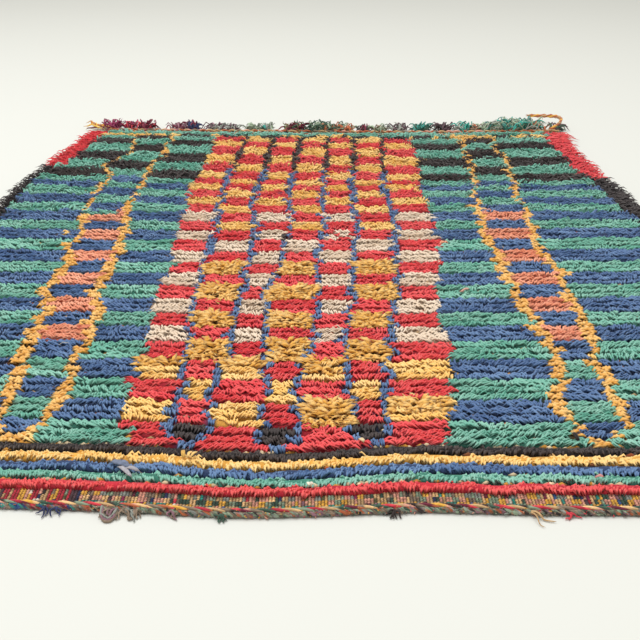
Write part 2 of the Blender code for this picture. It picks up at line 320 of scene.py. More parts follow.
# The x of the middle panel's left side, of its six dividers and of its right side
PANEL = table(
    "v left d1 d2 d3 d4 d5 d6 right",
    (0.150, -0.252, -0.203, -0.156, -0.078, -0.032, 0.052, 0.096, 0.176),
    (0.238, -0.283, -0.205, -0.156, -0.078, -0.032, 0.052, 0.098, 0.198),
    (0.345, -0.283, -0.208, -0.156, -0.081, -0.032, 0.046, 0.104, 0.203),
    (0.433, -0.281, -0.212, -0.149, -0.088, -0.017, 0.046, 0.117, 0.219),
    (0.560, -0.289, -0.224, -0.149, -0.088, -0.003, 0.052, 0.130, 0.212),
    (0.680, -0.297, -0.227, -0.143, -0.091, -0.003, 0.065, 0.146, 0.222),
    (0.800, -0.288, -0.227, -0.143, -0.078, -0.003, 0.071, 0.153, 0.240),
    (0.920, -0.303, -0.221, -0.134, -0.071, 0.003, 0.075, 0.163, 0.254),
    (1.050, -0.302, -0.224, -0.134, -0.059, 0.013, 0.091, 0.169, 0.258),
    (1.190, -0.305, -0.231, -0.153, -0.065, 0.007, 0.081, 0.169, 0.255),
    (1.340, -0.320, -0.234, -0.153, -0.075, 0.010, 0.085, 0.163, 0.255),
    (1.460, -0.302, -0.227, -0.139, -0.065, 0.017, 0.088, 0.169, 0.262),
    (1.630, -0.302, -0.221, -0.139, -0.059, 0.026, 0.100, 0.178, 0.270),
    (1.800, -0.302, -0.212, -0.127, -0.052, 0.029, 0.104, 0.188, 0.270),
)
LIGHT_CELLS = (
    "gold", "gold", "gold", "gold", "shag", "cream", "shag", "cream", "shag", "cream", "shag",
    "cream", "cream", "cream", "gold", "cream",
)
DIVIDERS_BLACK_FROM = 1.49
DIVIDER_HALF = (0.0050, 0.0076)
CELL_EDGE_STRAY = 0.003
# Black wedges edged with blue open over the panel's first three rows: half widths of both
WEDGE_HALVES = ((0.0, 0.012), (0.018, 0.030), (0.024, 0.037))

# The x of the two ladders' outer and inner rails
LADDERS = table(
    "v left_outer left_inner right_inner right_outer",
    (0.155, -0.428, -0.412, 0.378, 0.394),
    (0.176, -0.452, -0.396, 0.358, 0.414),
    (0.205, -0.455, -0.386, 0.351, 0.430),
    (0.240, -0.457, -0.385, 0.348, 0.438),
    (0.345, -0.465, -0.383, 0.370, 0.441),
    (0.405, -0.473, -0.392, 0.389, 0.442),
    (0.445, -0.477, -0.381, 0.383, 0.457),
    (0.580, -0.481, -0.391, 0.373, 0.458),
    (0.665, -0.507, -0.418, 0.369, 0.460),
    (0.755, -0.497, -0.409, 0.364, 0.468),
    (0.870, -0.507, -0.412, 0.368, 0.456),
    (0.910, -0.526, -0.422, 0.363, 0.463),
    (0.965, -0.510, -0.416, 0.355, 0.458),
    (1.145, -0.541, -0.445, 0.375, 0.482),
    (1.285, -0.540, -0.440, 0.377, 0.478),
    (1.400, -0.539, -0.448, 0.397, 0.499),
    (1.515, -0.565, -0.443, 0.403, 0.500),
    (1.620, -0.526, -0.428, 0.415, 0.514),
    (1.750, -0.536, -0.434, 0.408, 0.505),
    (1.850, -0.545, -0.432, 0.419, 0.518),
)
LADDER_APEX_ENDS = 0.160
RAIL_HALF = (0.0070, 0.0110)
RAIL_STRAY = 0.004
CORAL_RUNGS = (6, 16)
BLACK_RUNGS_FROM = 23

# The dark and the red shag along the sides
DARK_SIDE_WIDTH = (0.018, 0.034)
WIDE_DARK_SIDE_WIDTH = (0.036, 0.054)
WIDE_DARK_SIDE_FROM = 1.15
RED_SIDE_LEFT_FROM = 1.486
RED_SIDE_RIGHT_FROM = 1.427
RED_SIDE_WIDTH = (0.040, 0.060)

KNOT_SPACING = 0.0112
KNOT_STRAY = 0.0012
ROW_WANDER = 0.0016
CLUMP_BREAKS = 0.55
STRAY_COLOUR_SHARE = 0.0008
DOTS_CHANGE = 0.36
DOTS_ARE_GOLD_LEFT_OF = -0.45

COLOURS = ("green", "blue", "red", "gold", "shag", "amber", "cream", "coral", "black")
ID = {name: number for number, name in enumerate(COLOURS)}
REGIONS = ("end_rows", "left_field", "middle_panel", "right_field")


def all_rows():
    """Each row's v, depth, band number, number in the band and stripe; field bands count from 1."""
    rows = []
    start = PILE_SHOWS_FROM
    numbered = [(0, band) for band in BORDER_BANDS]
    numbered += list(enumerate(FIELD_BANDS, start=1))
    numbered += [(-1, band) for band in FAR_BANDS]
    for number, band in numbered:
        depth = (band.end - start) / band.rows
        for row in range(band.rows):
            rows.append((start + (row + 0.5) * depth, depth, number, row, band.stripe))
        start = band.end
    return rows


def lines_at(stations, v):
    """The x of each line of a table at v, one column a line."""
    stations = np.array(stations)
    return np.stack([np.interp(v, stations[:, 0], line) for line in stations.T[1:]], axis=-1)


def light_cell(band):
    return LIGHT_CELLS[band - 1] if band <= len(LIGHT_CELLS) else "gold"


def rung_colour(band, stripe):
    if stripe == "green":
        return "black" if band >= BLACK_RUNGS_FROM else "blue"
    if stripe == "blue" and CORAL_RUNGS[0] <= band <= CORAL_RUNGS[1]:
        return "coral"
    return "green"


def chart_panel(colour, x, band, row, lines, half, v):
    """Colours one row's knots inside the middle panel: cells, dividers and the dark near ends."""
    column = (x[:, None] > lines[None, :]).sum(1)
    inside = (column >= 1) & (column <= 7)
    red = (column % 2) == (band % 2)
    colour[inside & red] = ID["red"]
    colour[inside & ~red] = ID[light_cell(band)]
    dividers = np.abs(x[:, None] - lines[None, 1:7])
    on_divider = (dividers < half).any(1)
    colour[on_divider] = ID["black" if v > DIVIDERS_BLACK_FROM else "blue"]
    if band == 1:
        colour[inside] = ID["red"]
        black_half, blue_half = WEDGE_HALVES[row]
        for k in (1, 3, 5):
            off = np.abs(x - (lines[k] + lines[k + 1]) / 2)
            colour[off < blue_half] = ID["blue"]
            colour[off < black_half] = ID["black"]
    return column


def chart_row(rng, x, v, band, row, stripe):
    """The colour and the region of each knot of one row, and where it stands in its cell."""
    outward = np.zeros(len(x))
    if stripe == "dots":
        group = np.cumsum(rng.random(len(x)) < DOTS_CHANGE)
        gold = (group % 2 == 0) | (x < DOTS_ARE_GOLD_LEFT_OF)
        return np.where(gold, ID["gold"], ID["black"]), np.zeros(len(x), int), outward
    colour = np.full(len(x), ID[stripe])
    region = np.zeros(len(x), int)
    if band > 0:
        lines = lines_at(PANEL, v) + rng.normal(0, CELL_EDGE_STRAY, 8)
        half = rng.uniform(*DIVIDER_HALF, 6) * (1 + 0.3 * smooth_step(v, 1.1, 1.4))
        rails = lines_at(LADDERS, v) + rng.normal(0, RAIL_STRAY, 4)
        rail_half = rng.uniform(*RAIL_HALF, 4) * (1 - 0.3 * smooth_step(v, 0.9, 1.3))
        rail_half = rail_half * (0.7 + 0.3 * smooth_step(v, 0.16, 0.28))
        column = chart_panel(colour, x, band, row, lines, half, v)
        region = np.where(column == 0, 1, np.where(column == 8, 3, 2))
        for outer, inner in ((0, 1), (3, 2)):
            low, high = sorted((rails[outer], rails[inner]))
            rung = (x > low) & (x < high)
            colour[rung] = ID[rung_colour(band, stripe)]
            if v < LADDER_APEX_ENDS:
                colour[rung] = ID["amber"]
            for rail in (outer, inner):
                on_rail = np.abs(x - rails[rail]) < rail_half[rail]
                colour[on_rail] = ID["amber"]
                outward[on_rail] = rng.choice((-1, 1))
        middle = (lines[np.clip(column - 1, 0, 7)] + lines[np.clip(column, 0, 7)]) / 2
        inside = region == 2
        outward[inside] = ((x - middle) / 0.035)[inside]
    strays = rng.random(len(x)) < STRAY_COLOUR_SHARE
    colour[strays] = rng.choice([ID["gold"], ID["coral"], ID["green"]], strays.sum())
    return colour, region, outward


def side_shag(rng, x, v, colour, outward, left, right):
    """Turns the knots near both sides into dark or red shag; says which knots they are."""
    width_left, width_right = rng.uniform(*DARK_SIDE_WIDTH, 2)
    left_colour = right_colour = "black"
    if v > WIDE_DARK_SIDE_FROM:
        width_right = rng.uniform(*WIDE_DARK_SIDE_WIDTH)
    if v > RED_SIDE_LEFT_FROM:
        left_colour = "red"
        width_left = rng.uniform(*RED_SIDE_WIDTH)
    if v > RED_SIDE_RIGHT_FROM:
        right_colour = "red"
        width_right = rng.uniform(*RED_SIDE_WIDTH)
    on_left, on_right = x < left + width_left, x > right - width_right
    colour[on_left] = ID[left_colour]
    colour[on_right] = ID[right_colour]
    outward[on_left], outward[on_right] = -1, 1
    return on_left | on_right


# Cells where one weaver's rag ran out and another colour or length took its place
PATCHES = table(
    "x_from x_to v_from v_to colour share",
    (-0.283, -0.212, 0.372, 0.396, "shag", 1.0),
    (-0.149, -0.088, 0.372, 0.396, "shag", 1.0),
    (-0.030, 0.045, 0.350, 0.396, "shag", 0.8),
    (-0.025, 0.052, 0.205, 0.270, "shag", 1.0),
    (0.106, 0.196, 0.222, 0.270, "shag", 0.8),
    (0.016, 0.070, 0.886, 0.950, "red", 0.5),
    (0.016, 0.080, 0.960, 1.015, "red", 0.4),
    (-0.235, -0.120, 0.955, 0.985, "black", 0.12),
    (-0.080, -0.060, 0.955, 1.000, "black", 0.7),
    (-0.540, -0.460, 1.125, 1.147, "green", 1.0),
    (0.389, 0.441, 0.398, 0.410, "gold", 0.6),
)


def lay_out_knots():
    """Every knot of the rug, with its place, row, colour, region, cell side, clump and lie."""
    rng = np.random.default_rng(21)
    names = ("x", "v", "row", "depth", "colour", "region", "outward", "up", "clump", "lie")
    parts = {key: [] for key in names}
    clumps = 0
    for number, (row_v, depth, band, row, stripe) in enumerate(all_rows()):
        left, right = sides_at(row_v)
        count = int((right - left) / KNOT_SPACING)
        x = left + (np.arange(count) + 0.5) * (right - left) / count
        x = x + rng.uniform(-KNOT_STRAY, KNOT_STRAY, count)
        v = row_v + ROW_WANDER * drift(x, row_v, 0.11, 0.05, 100 + number)
        v = v + rng.normal(0, 0.0006, count)
        colour, region, outward = chart_row(rng, x, row_v, band, row, stripe)
        for patch in PATCHES:
            held = (x > patch.x_from) & (x < patch.x_to) & (rng.random(count) < patch.share)
            if patch.v_from <= row_v <= patch.v_to:
                colour[held] = ID[patch.colour]
        on_side = side_shag(rng, x, row_v, colour, outward, left, right)
        breaks = (rng.random(count) < CLUMP_BREAKS) | (np.diff(colour, prepend=-1) != 0)
        clump = clumps + np.cumsum(breaks)
        clumps = clump[-1]
        grade = "border" if band == 0 else "combed" if row_v < COMBED_TO else "laid"
        lie = np.full(count, LIE[grade if row_v < LAID_TO else "standing"])
        lie[colour == ID["shag"]] = LIE["shaggy"]
        lie[colour == ID["amber"]] = LIE["rail"]
        lie[on_side] = LIE["side"]
        values = (x, v, number, depth, colour, region, outward, row - 1.0, clump, lie)
        for key, value in zip(parts, values):
            parts[key].append(np.broadcast_to(value, count))
    return {key: np.concatenate(value) for key, value in parts.items()}


# How the locks of a knot are cut: how many there are, the shares of a lock's length at which it
# has a ring, how thick each ring is, how thick the lock is, how flat it is pressed, how high it
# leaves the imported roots, at what share of its length it bends, and how far back along its lean
# it starts, as a share of its reach
LockShape = namedtuple("LockShape", "locks rings profile radius flat root bend_at over")
DROOPING = ((0.0, 0.36, 0.72, 1.0), (0.80, 1.0, 0.66, 0.0))
SHORT = ((0.0, 0.62, 1.0), (0.85, 1.0, 0.0))
BLUNT = ((0.0, 0.74, 1.0), (0.95, 1.10, 0.0))
LEAF = ((0.0, 0.48, 1.0), (0.55, 1.0, 0.0))
LOCK_SHAPES = {
    "border": LockShape(12, *BLUNT, 0.0021, 0.90, 0.0030, 0.12, 0.5),
    "combed": LockShape(7, *SHORT, 0.0022, 0.90, 0.0030, 0.14, 0.5),
    "laid": LockShape(6, *SHORT, 0.0022, 0.90, 0.0030, 0.14, 0.5),
    "standing": LockShape(5, *SHORT, 0.0020, 0.85, 0.0030, 0.26, 0.5),
    "shaggy": LockShape(9, *LEAF, 0.0046, 0.32, 0.0085, 0.50, 0.35),
    "rail": LockShape(7, *LEAF, 0.0048, 0.45, 0.0060, 0.40, 0.5),
    "side": LockShape(4, *DROOPING, 0.0028, 0.70, 0.0025, 0.12, 0.0),
}
LIE = {name: number for number, name in enumerate(LOCK_SHAPES)}
USUAL_DEPTH = 0.021
COMBED_TO = 0.46
LAID_TO = 0.95
STAND_UP = (0.85, 1.50)


def strand_mesh(name, path, radius, material, dye, sides=3, flat=1.0, across=None):
    """Tapering strands as one joined mesh. path is strands x rings x 3, and the last is the tip.

    across is a side direction square to each whole path, and needed where a path starts upright.
    dye is a colour for each strand, or one for each ring of each strand.
    """
    count, rings, _ = path.shape
    tangent = np.gradient(path, axis=1)
    tangent /= np.linalg.norm(tangent, axis=2, keepdims=True)
    if across is None:
        across = np.cross(tangent, (0.0, 0.0, 1.0))
    else:
        across = np.broadcast_to(across[:, None, :], path.shape)
    across = across / np.maximum(np.linalg.norm(across, axis=2, keepdims=True), 1e-9)
    upward = np.cross(tangent, across)
    turn = 2 * math.pi * (np.arange(sides) + 0.5) / sides
    ring_across = radius[:, :-1, None] * np.cos(turn)
    ring_up = radius[:, :-1, None] * np.sin(turn) * flat
    points = path[:, :-1, None, :] + ring_across[..., None] * across[:, :-1, None, :]
    points = points + ring_up[..., None] * upward[:, :-1, None, :]
    points = np.concatenate([points.reshape(count, -1, 3), path[:, -1:, :]], axis=1)
    steps = np.linalg.norm(np.diff(path, axis=1), axis=2)
    along = np.concatenate([np.zeros((count, 1)), np.cumsum(steps, axis=1)], axis=1)
    straight = np.stack(
        [ring_across, np.broadcast_to(along[:, :-1, None], ring_across.shape), ring_up], axis=-1
    ).reshape(count, -1, 3)
    tip = np.stack([np.zeros(count), along[:, -1], np.zeros(count)], axis=-1)[:, None, :]
    straight = np.concatenate([straight, tip], axis=1)
    straight[..., 1] += (np.arange(count) * 0.731)[:, None]
    if dye.ndim == 2:
        dye = np.broadcast_to(dye[:, None, :], (count, rings, 4))
    dye = np.concatenate([np.repeat(dye[:, :-1], sides, axis=1), dye[:, -1:]], axis=1)
    each = (rings - 1) * sides + 1
    ring_sides = [(j, (j + 1) % sides) for j in range(sides)]
    quads = [
        (i * sides + j, i * sides + k, (i + 1) * sides + k, (i + 1) * sides + j)
        for i in range(rings - 2)
        for j, k in ring_sides
    ]
    last = (rings - 2) * sides
    ends = [(last + j, last + k, each - 1) for j, k in ring_sides]
    cap = tuple(range(sides))[::-1]
    template = np.array([k for face in (*quads, *ends, cap) for k in face])
    sizes = np.array([4] * len(quads) + [3] * len(ends) + [sides])
    corners = (template[None, :] + (np.arange(count) * each)[:, None]).ravel()
    return add_mesh(
        name, points.reshape(-1, 3), corners, np.tile(sizes, count), material,
        straight=straight.reshape(-1, 3), dye=dye.reshape(-1, 4),
    )


# Fibre streaks are drawn coarser than real wool, so that they show
FIBRE_WIDTH = 0.0012
CUT_FIBRE_LENGTH = 0.011


def add_fibres(tree, shader, length, roughness, strength, depth):
    """Streaks along each strand, as if it were laid straight, which also raise its surface."""
    straight = add_node(tree, "ShaderNodeAttribute", {"attribute_name": "straight"})
    combed = add_node(
        tree, "ShaderNodeVectorMath", {"operation": "MULTIPLY"},
        {1: (1 / FIBRE_WIDTH, 1 / length, 1 / FIBRE_WIDTH)}, {0: straight.outputs["Vector"]},
    )
    fibres = add_node(
        tree, "ShaderNodeTexNoise", values={"Scale": 1.0, "Detail": 3.0, "Roughness": roughness},
        links={"Vector": combed.outputs["Vector"]},
    )
    raised = add_node(
        tree, "ShaderNodeBump", values={"Strength": strength, "Distance": depth},
        links={"Height": fibres.outputs["Fac"]},
    )
    tree.links.new(raised.outputs["Normal"], shader.inputs["Normal"])
    return fibres.outputs["Fac"]


def spun_wool(name, deep, body, worn):
    """Hand-spun, plant- and pot-dyed wool, cut: a dull fibrous lock, darker at its root as painted
    shade deep in the pile and lighter at its worn tip, with the dye lot changing a little from row to
    row.
    """
    material, tree, shader = blank_wool(name, 0.92, 0.15)
    fibres = add_fibres(tree, shader, CUT_FIBRE_LENGTH, 0.6, 0.55, 0.0012)
    dye = add_node(tree, "ShaderNodeAttribute", {"attribute_name": "dye"})
    parts = add_node(tree, "ShaderNodeSeparateColor", links={"Color": dye.outputs["Color"]})
    lot = add_node(
        tree, "ShaderNodeMath", {"operation": "MULTIPLY_ADD"}, {1: 0.45, 2: 0.06},
        {0: parts.outputs["Red"]},
    )
    height = add_node(
        tree, "ShaderNodeMath", {"operation": "MULTIPLY_ADD"}, {1: 0.32},
        {0: parts.outputs["Green"], 2: lot.outputs["Value"]},
    )
    streaked = add_node(
        tree, "ShaderNodeMath", {"operation": "MULTIPLY_ADD"}, {1: 0.35},
        {0: fibres, 2: height.outputs["Value"]},
    )
    shade = add_node(tree, "ShaderNodeValToRGB", links={"Fac": streaked.outputs["Value"]})
    # The root end of the ramp is painted shade, for the roots deep in the pile.
    set_stops(shade, ((0.12, deep), (0.50, body), (0.95, worn)))
    tree.links.new(shade.outputs["Color"], shader.inputs["Base Color"])
    return material


# Each wool's material name, its colour at the root deep in the pile, darkened as painted shade, its own
# colour and its worn tips
Dye = namedtuple("Dye", "name deep body worn")
WOOL_DYES = {
    "green": Dye("teal_green_wool", "#2B6A5A", "#62AB96", "#9CCDBC"),
    "blue": Dye("indigo_wool", "#1E2D50", "#42608F", "#7090BA"),
    "red": Dye("madder_red_wool", "#A81A2E", "#E23E46", "#EC605E"),
    "gold": Dye("golden_wool", "#CE9238", "#F6C162", "#FFDC98"),
    "shag": Dye("long_golden_rag_wool", "#7E4A0C", "#E2A643", "#F8CE82"),
    "amber": Dye("amber_rag_wool", "#96591A", "#E4A548", "#FBCE82"),
    "cream": Dye("undyed_cream_wool", "#A88A70", "#E2CBB2", "#F5E3D0"),
    "coral": Dye("faded_coral_wool", "#B85848", "#E88F6E", "#F6B697"),
    "black": Dye("brown_black_wool", "#130E10", "#31292B", "#504542"),
}
WOOLS = {name: spun_wool(*dye) for name, dye in WOOL_DYES.items()}


def dyed_yarn(name, fibre_length):
    """Yarn that carries its own dye, ring by ring: dull, with each strand a little lighter and
    darker along its fibres.
    """
    material, tree, shader = blank_wool(name, 0.92, 0.12)
    fibres = add_fibres(tree, shader, fibre_length, 0.65, 0.6, 0.001)
    dye = add_node(tree, "ShaderNodeAttribute", {"attribute_name": "dye"})
    light = add_node(
        tree, "ShaderNodeMapRange",
        values={"From Min": 0.3, "From Max": 0.7, "To Min": 0.62, "To Max": 1.25},
        links={"Value": fibres},
    )
    shaded = add_node(
        tree, "ShaderNodeVectorMath", {"operation": "SCALE"},
        links={0: dye.outputs["Color"], "Scale": light.outputs["Result"]},
    )
    tree.links.new(shaded.outputs["Vector"], shader.inputs["Base Color"])
    return material


# The roots of a row's knots pack into one lumpy roll: its section as shares of the row's depth
# and of its height, and its steps across the rug at the near and the far rows
ROLL_SECTION = np.array([(-0.44, 0.0), (-0.34, 0.62), (0.02, 1.0), (0.34, 0.60), (0.43, 0.0)])
ROLL_HEIGHT = 0.0104
ROLL_STEPS = (0.0115, 0.0190)
# The rolls take mostly the wools' shaded root colours: painted shade under the locks.
ROLL_PAINTED_SHADE = 0.80
PACKED_ROOTS = dyed_yarn("packed_root_wool", 0.005)


def settle(piece):
    """The piece rides on the rug."""
    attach(piece, "root")


def row_roll(rng, knots, step):
    """The points and dyes of one row's closed roll of packed roots."""
    x = np.arange(knots["x"][0] - 0.004, knots["x"][-1] + 0.004, step)
    nearest = np.clip(np.searchsorted(knots["x"], x), 0, len(knots["x"]) - 1)
    size = (len(x), len(ROLL_SECTION))
    spread = ROLL_SECTION[:, 0] * knots["depth"][0] * rng.uniform(0.86, 1.12, size)
    v = np.interp(x, knots["x"], knots["v"])[:, None] + spread
    rise = ROLL_HEIGHT * rng.uniform(0.84, 1.16, size) * ROLL_SECTION[:, 1]
    ends = np.minimum(1.0, 0.3 + np.minimum(np.arange(len(x)), np.arange(len(x))[::-1]) * 0.35)
    z = GROUND_THICKNESS - 0.0012 + rise * ends[:, None]
    palette = np.array([
        np.array(linear(dye.deep)) * ROLL_PAINTED_SHADE + np.array(linear(dye.body)) * (1 - ROLL_PAINTED_SHADE)
        for dye in WOOL_DYES.values()
    ])
    # Painted shade: the rolls under the gold rags and the rails are halved in brightness.
    light = np.where(np.isin(knots["colour"][nearest], (ID["amber"], ID["shag"])), 0.5, 1.0)
    # Painted light: the border rows' rolls are lightened, for the lit front of the near rows.
    light = np.where(knots["lie"][nearest] == LIE["border"], 1.35, light)
    # Every point of a roll is darkened at random, partly as painted shade under the locks.
    dyes = palette[knots["colour"][nearest]][:, None, :] * rng.uniform(0.55, 1.0, (*size, 1))
    dyes = dyes * light[:, None, None]
    return placed(np.broadcast_to(x[:, None], size), v, z), np.clip(dyes, 0, 1)


def add_packed_roots(name, knots, rows, step):
    """Closed rolls, one a row, as one joined mesh."""
    rng = np.random.default_rng(31)
    points, dyes, corners, sizes = [], [], [], []
    held, around = 0, len(ROLL_SECTION)
    for row in rows:
        in_row = knots["row"] == row
        roll, dye = row_roll(rng, {key: value[in_row] for key, value in knots.items()}, step)
        index = held + np.arange(roll.shape[0] * around).reshape(-1, around)
        after = np.roll(index, -1, axis=1)
        quads = np.stack([index[:-1], index[1:], after[1:], after[:-1]], axis=-1)
        corners += [quads.ravel(), index[0], index[-1][::-1]]
        sizes += [np.full(quads.size // 4, 4), [around, around]]
        points.append(roll.reshape(-1, 3))
        dyes.append(dye.reshape(-1, 4))
        held += index.size
    points = np.concatenate(points)
    made = add_mesh(
        name, points, np.concatenate(corners), np.concatenate(sizes), PACKED_ROOTS,
        straight=points[:, [2, 1, 0]], dye=np.concatenate(dyes),
    )
    settle(made)


# Picks of thick weft that bulge up between the rows: ochre, cream, rust, tan and brown
PICK_DYES = ("#C48A34", "#DCC6A2", "#A8552C", "#CBA574", "#7C4A2A")
PICKS_IN_ROW = 9
PICK_HALF = (0.0066, 0.0028, 0.0036)
OCHRE_LINES = (0.055, 0.140)
PICKS_IN_OCHRE_LINE = 95
PICK_WOOL = dyed_yarn("thick_weft_wool", 0.004)


def add_beads(name, centres, half, dyes, material):
    """Closed eight-faced lenses as one joined mesh; half holds each one's half sizes."""
    lens = np.array([(1, 0, 0), (0, 1, 0), (-1, 0, 0), (0, -1, 0), (0, 0, 1), (0, 0, -1)])
    points = (centres[:, None] + lens[None] * half[:, None]).reshape(-1, 3)
    faces = [(k, (k + 1) % 4, 4) for k in range(4)] + [((k + 1) % 4, k, 5) for k in range(4)]
    corners = (np.array(faces).ravel()[None] + (np.arange(len(centres)) * 6)[:, None]).ravel()
    made = add_mesh(
        name, points, corners, np.full(len(centres) * 8, 3), material,
        straight=np.repeat(centres, 6, axis=0), dye=np.repeat(dyes, 6, axis=0),
    )
    settle(made)


def add_weft_picks():
    rng = np.random.default_rng(33)
    centres, dyes = [], []
    palette = np.array([linear(dye) for dye in PICK_DYES])
    for v, depth, *_ in all_rows()[1:]:
        between = v - depth / 2
        ochre = min(abs(between - line) for line in OCHRE_LINES) < 0.003
        left, right = sides_at(between)
        picks = PICKS_IN_OCHRE_LINE if ochre else PICKS_IN_ROW
        x = rng.uniform(left + 0.03, right - 0.03, picks)
        height = rng.uniform(0.0065, 0.0085, len(x))
        centres.append(placed(x, between + rng.normal(0, 0.0010, len(x)), height))
        chosen = rng.integers(0, 2 if ochre else len(palette), len(x))
        dyes.append(palette[chosen] * rng.uniform(0.75, 1.1, (len(x), 1)))
    centres, dyes = np.concatenate(centres), np.clip(np.concatenate(dyes), 0, 1)
    half = np.array(PICK_HALF) * rng.uniform(0.7, 1.3, (len(centres), 1))
    half[:, 2] = np.minimum(half[:, 2], centres[:, 2] - 0.0005)
    add_beads("weft_picks", centres, half, dyes, PICK_WOOL)


def clump_values(rng, knots):
    """What the knots of one clump share: their middle, and how far they swing, reach and rise."""
    held = np.maximum(np.bincount(knots["clump"]), 1)
    middle = np.bincount(knots["clump"], knots["x"]) / held
    count = len(middle)
    return {
        "middle": middle,
        "swing": rng.normal(0, 1, count),
        "reach": rng.uniform(0.85, 1.15, count),
        "rise": rng.uniform(0.90, 1.10, count),
        "lot": rng.normal(0, 0.12, count),
    }


def lay_combed(rng, lock, shared):
    """Locks that start at the far side of their row and lie slantwise over it, towards the braid."""
    count = len(lock["x"])
    upright = smooth_step(lock["v"], *STAND_UP)
    border = lock["lie"] == LIE["border"]
    divider = np.isin(lock["colour"], (ID["blue"], ID["black"]))
    divider = divider & (lock["region"] == REGIONS.index("middle_panel"))
    most = np.where(border, 44, np.where(divider, 10, 70))
    sideways = np.tanh(4.2 * drift(lock["x"], lock["v"], 0.27, 0.11, 5) - 0.35)
    each = rng.normal(0, 1, count) * (12 + 8 * border)
    swing = sideways * most + shared["swing"] * (9 + 16 * upright) + each
    away = (upright > 0.4) & (shared["rise"] < 0.945)
    swing = np.where(away, 180 - swing, swing)
    longer = (0.62 + 0.06 * upright) / np.maximum(np.cos(np.radians(swing)), 0.46)
    longer = np.where(border, 0.62 + 0.12 * smooth_step(lock["x"], -0.35, -0.05), longer)
    longer = longer * np.where(divider, 1.3, 1.0)
    reach = lock["depth"] * longer * shared["reach"] * rng.uniform(0.75, 1.25, count)
    nearest = np.where(border, -0.08, -0.16 - 0.22 * upright)
    root_v = lock["depth"] * rng.uniform(nearest, 0.46 - 0.06 * upright, count)
    rise = (0.0204 - 0.0010 * border + 0.0018 * upright) * shared["rise"]
    rise = rise * (1 + 0.07 * drift(lock["x"], lock["v"], 0.17, 0.13, 8))
    rise = rise * rng.uniform(0.92 - 0.18 * upright, 1.08 + 0.22 * upright, count)
    tip_z = 0.0080 - 0.0024 * border + 0.0050 * upright
    tip_z = tip_z + rng.uniform(-0.0018, 0.0018, count) * (1 + 1.6 * upright)
    return swing, reach, root_v, rise, tip_z, np.where(border, 0.82, 0.74 + 0.12 * upright)


def mostly_outward(rng, lock, share):
    """The side each lock falls to: that share of them outwards, and the others to either side."""
    either = rng.choice((-1, 1), len(lock["x"]))
    return np.where(rng.random(len(either)) < share, np.sign(lock["outward"] + 1e-6), either)


def lay_shaggy(rng, lock, shared):
    """Long pointed rags, nearly straight, that fall over each other to both sides of their cell."""
    count = len(lock["x"])
    outward = mostly_outward(rng, lock, 0.80)
    sideways = outward * np.maximum(np.abs(lock["outward"]), rng.uniform(0.2, 0.9, count))
    swing = np.degrees(np.arctan2(sideways, 0.26 - 0.34 * lock["up"])) + rng.normal(0, 28, count)
    reach = rng.uniform(0.014, 0.028, count)
    root_v = lock["depth"] * rng.uniform(-0.45, 0.45, count)
    tip_z = rng.uniform(0.0110, 0.0205, count)
    rise = (tip_z - 0.0085) / 2 + rng.uniform(0.003, 0.008, count)
    return swing, reach, root_v, rise, tip_z, 1.0


def lay_rail(rng, lock, shared):
    """Short dabs that lie along their own row, one row above the other."""
    count = len(lock["x"])
    outward = mostly_outward(rng, lock, 0.78)
    swing = outward * rng.uniform(52, 92, count) + shared["swing"] * 5
    reach = rng.uniform(0.013, 0.024, count)
    root_v = lock["depth"] * rng.uniform(-0.40, 0.42, count)
    rise = rng.uniform(0.011, 0.016, count)
    tip_z = rng.uniform(0.0090, 0.0135, count)
    return swing, reach, root_v, rise, tip_z, 1.0


def lay_side(rng, lock, shared):
    """Uneven locks along the rug's sides, which point outwards and droop to the floor."""
    count = len(lock["x"])
    swing = lock["outward"] * (82 + rng.normal(0, 22, count)) + shared["swing"] * 8
    reach = rng.uniform(0.012, 0.030, count) * shared["reach"]
    root_v = lock["depth"] * rng.uniform(-0.42, 0.42, count)
    rise = rng.uniform(0.016, 0.026, count)
    tip_z = rng.uniform(0.003, 0.013, count)
    reach = reach * (1 + 0.7 * smooth_step(lock["v"], 1.70, 1.88) * (lock["outward"] > 0))
    return swing, reach, root_v, rise, tip_z, 0.9


LAY = {name: lay_combed for name in LOCK_SHAPES}
LAY.update(shaggy=lay_shaggy, rail=lay_rail, side=lay_side)
RAG_FACES_UP = (-25, 60)
# Border locks are drawn lighter and side locks darker.
LOT_SHIFT_BY_LIE = {"border": 0.18, "side": -0.24}


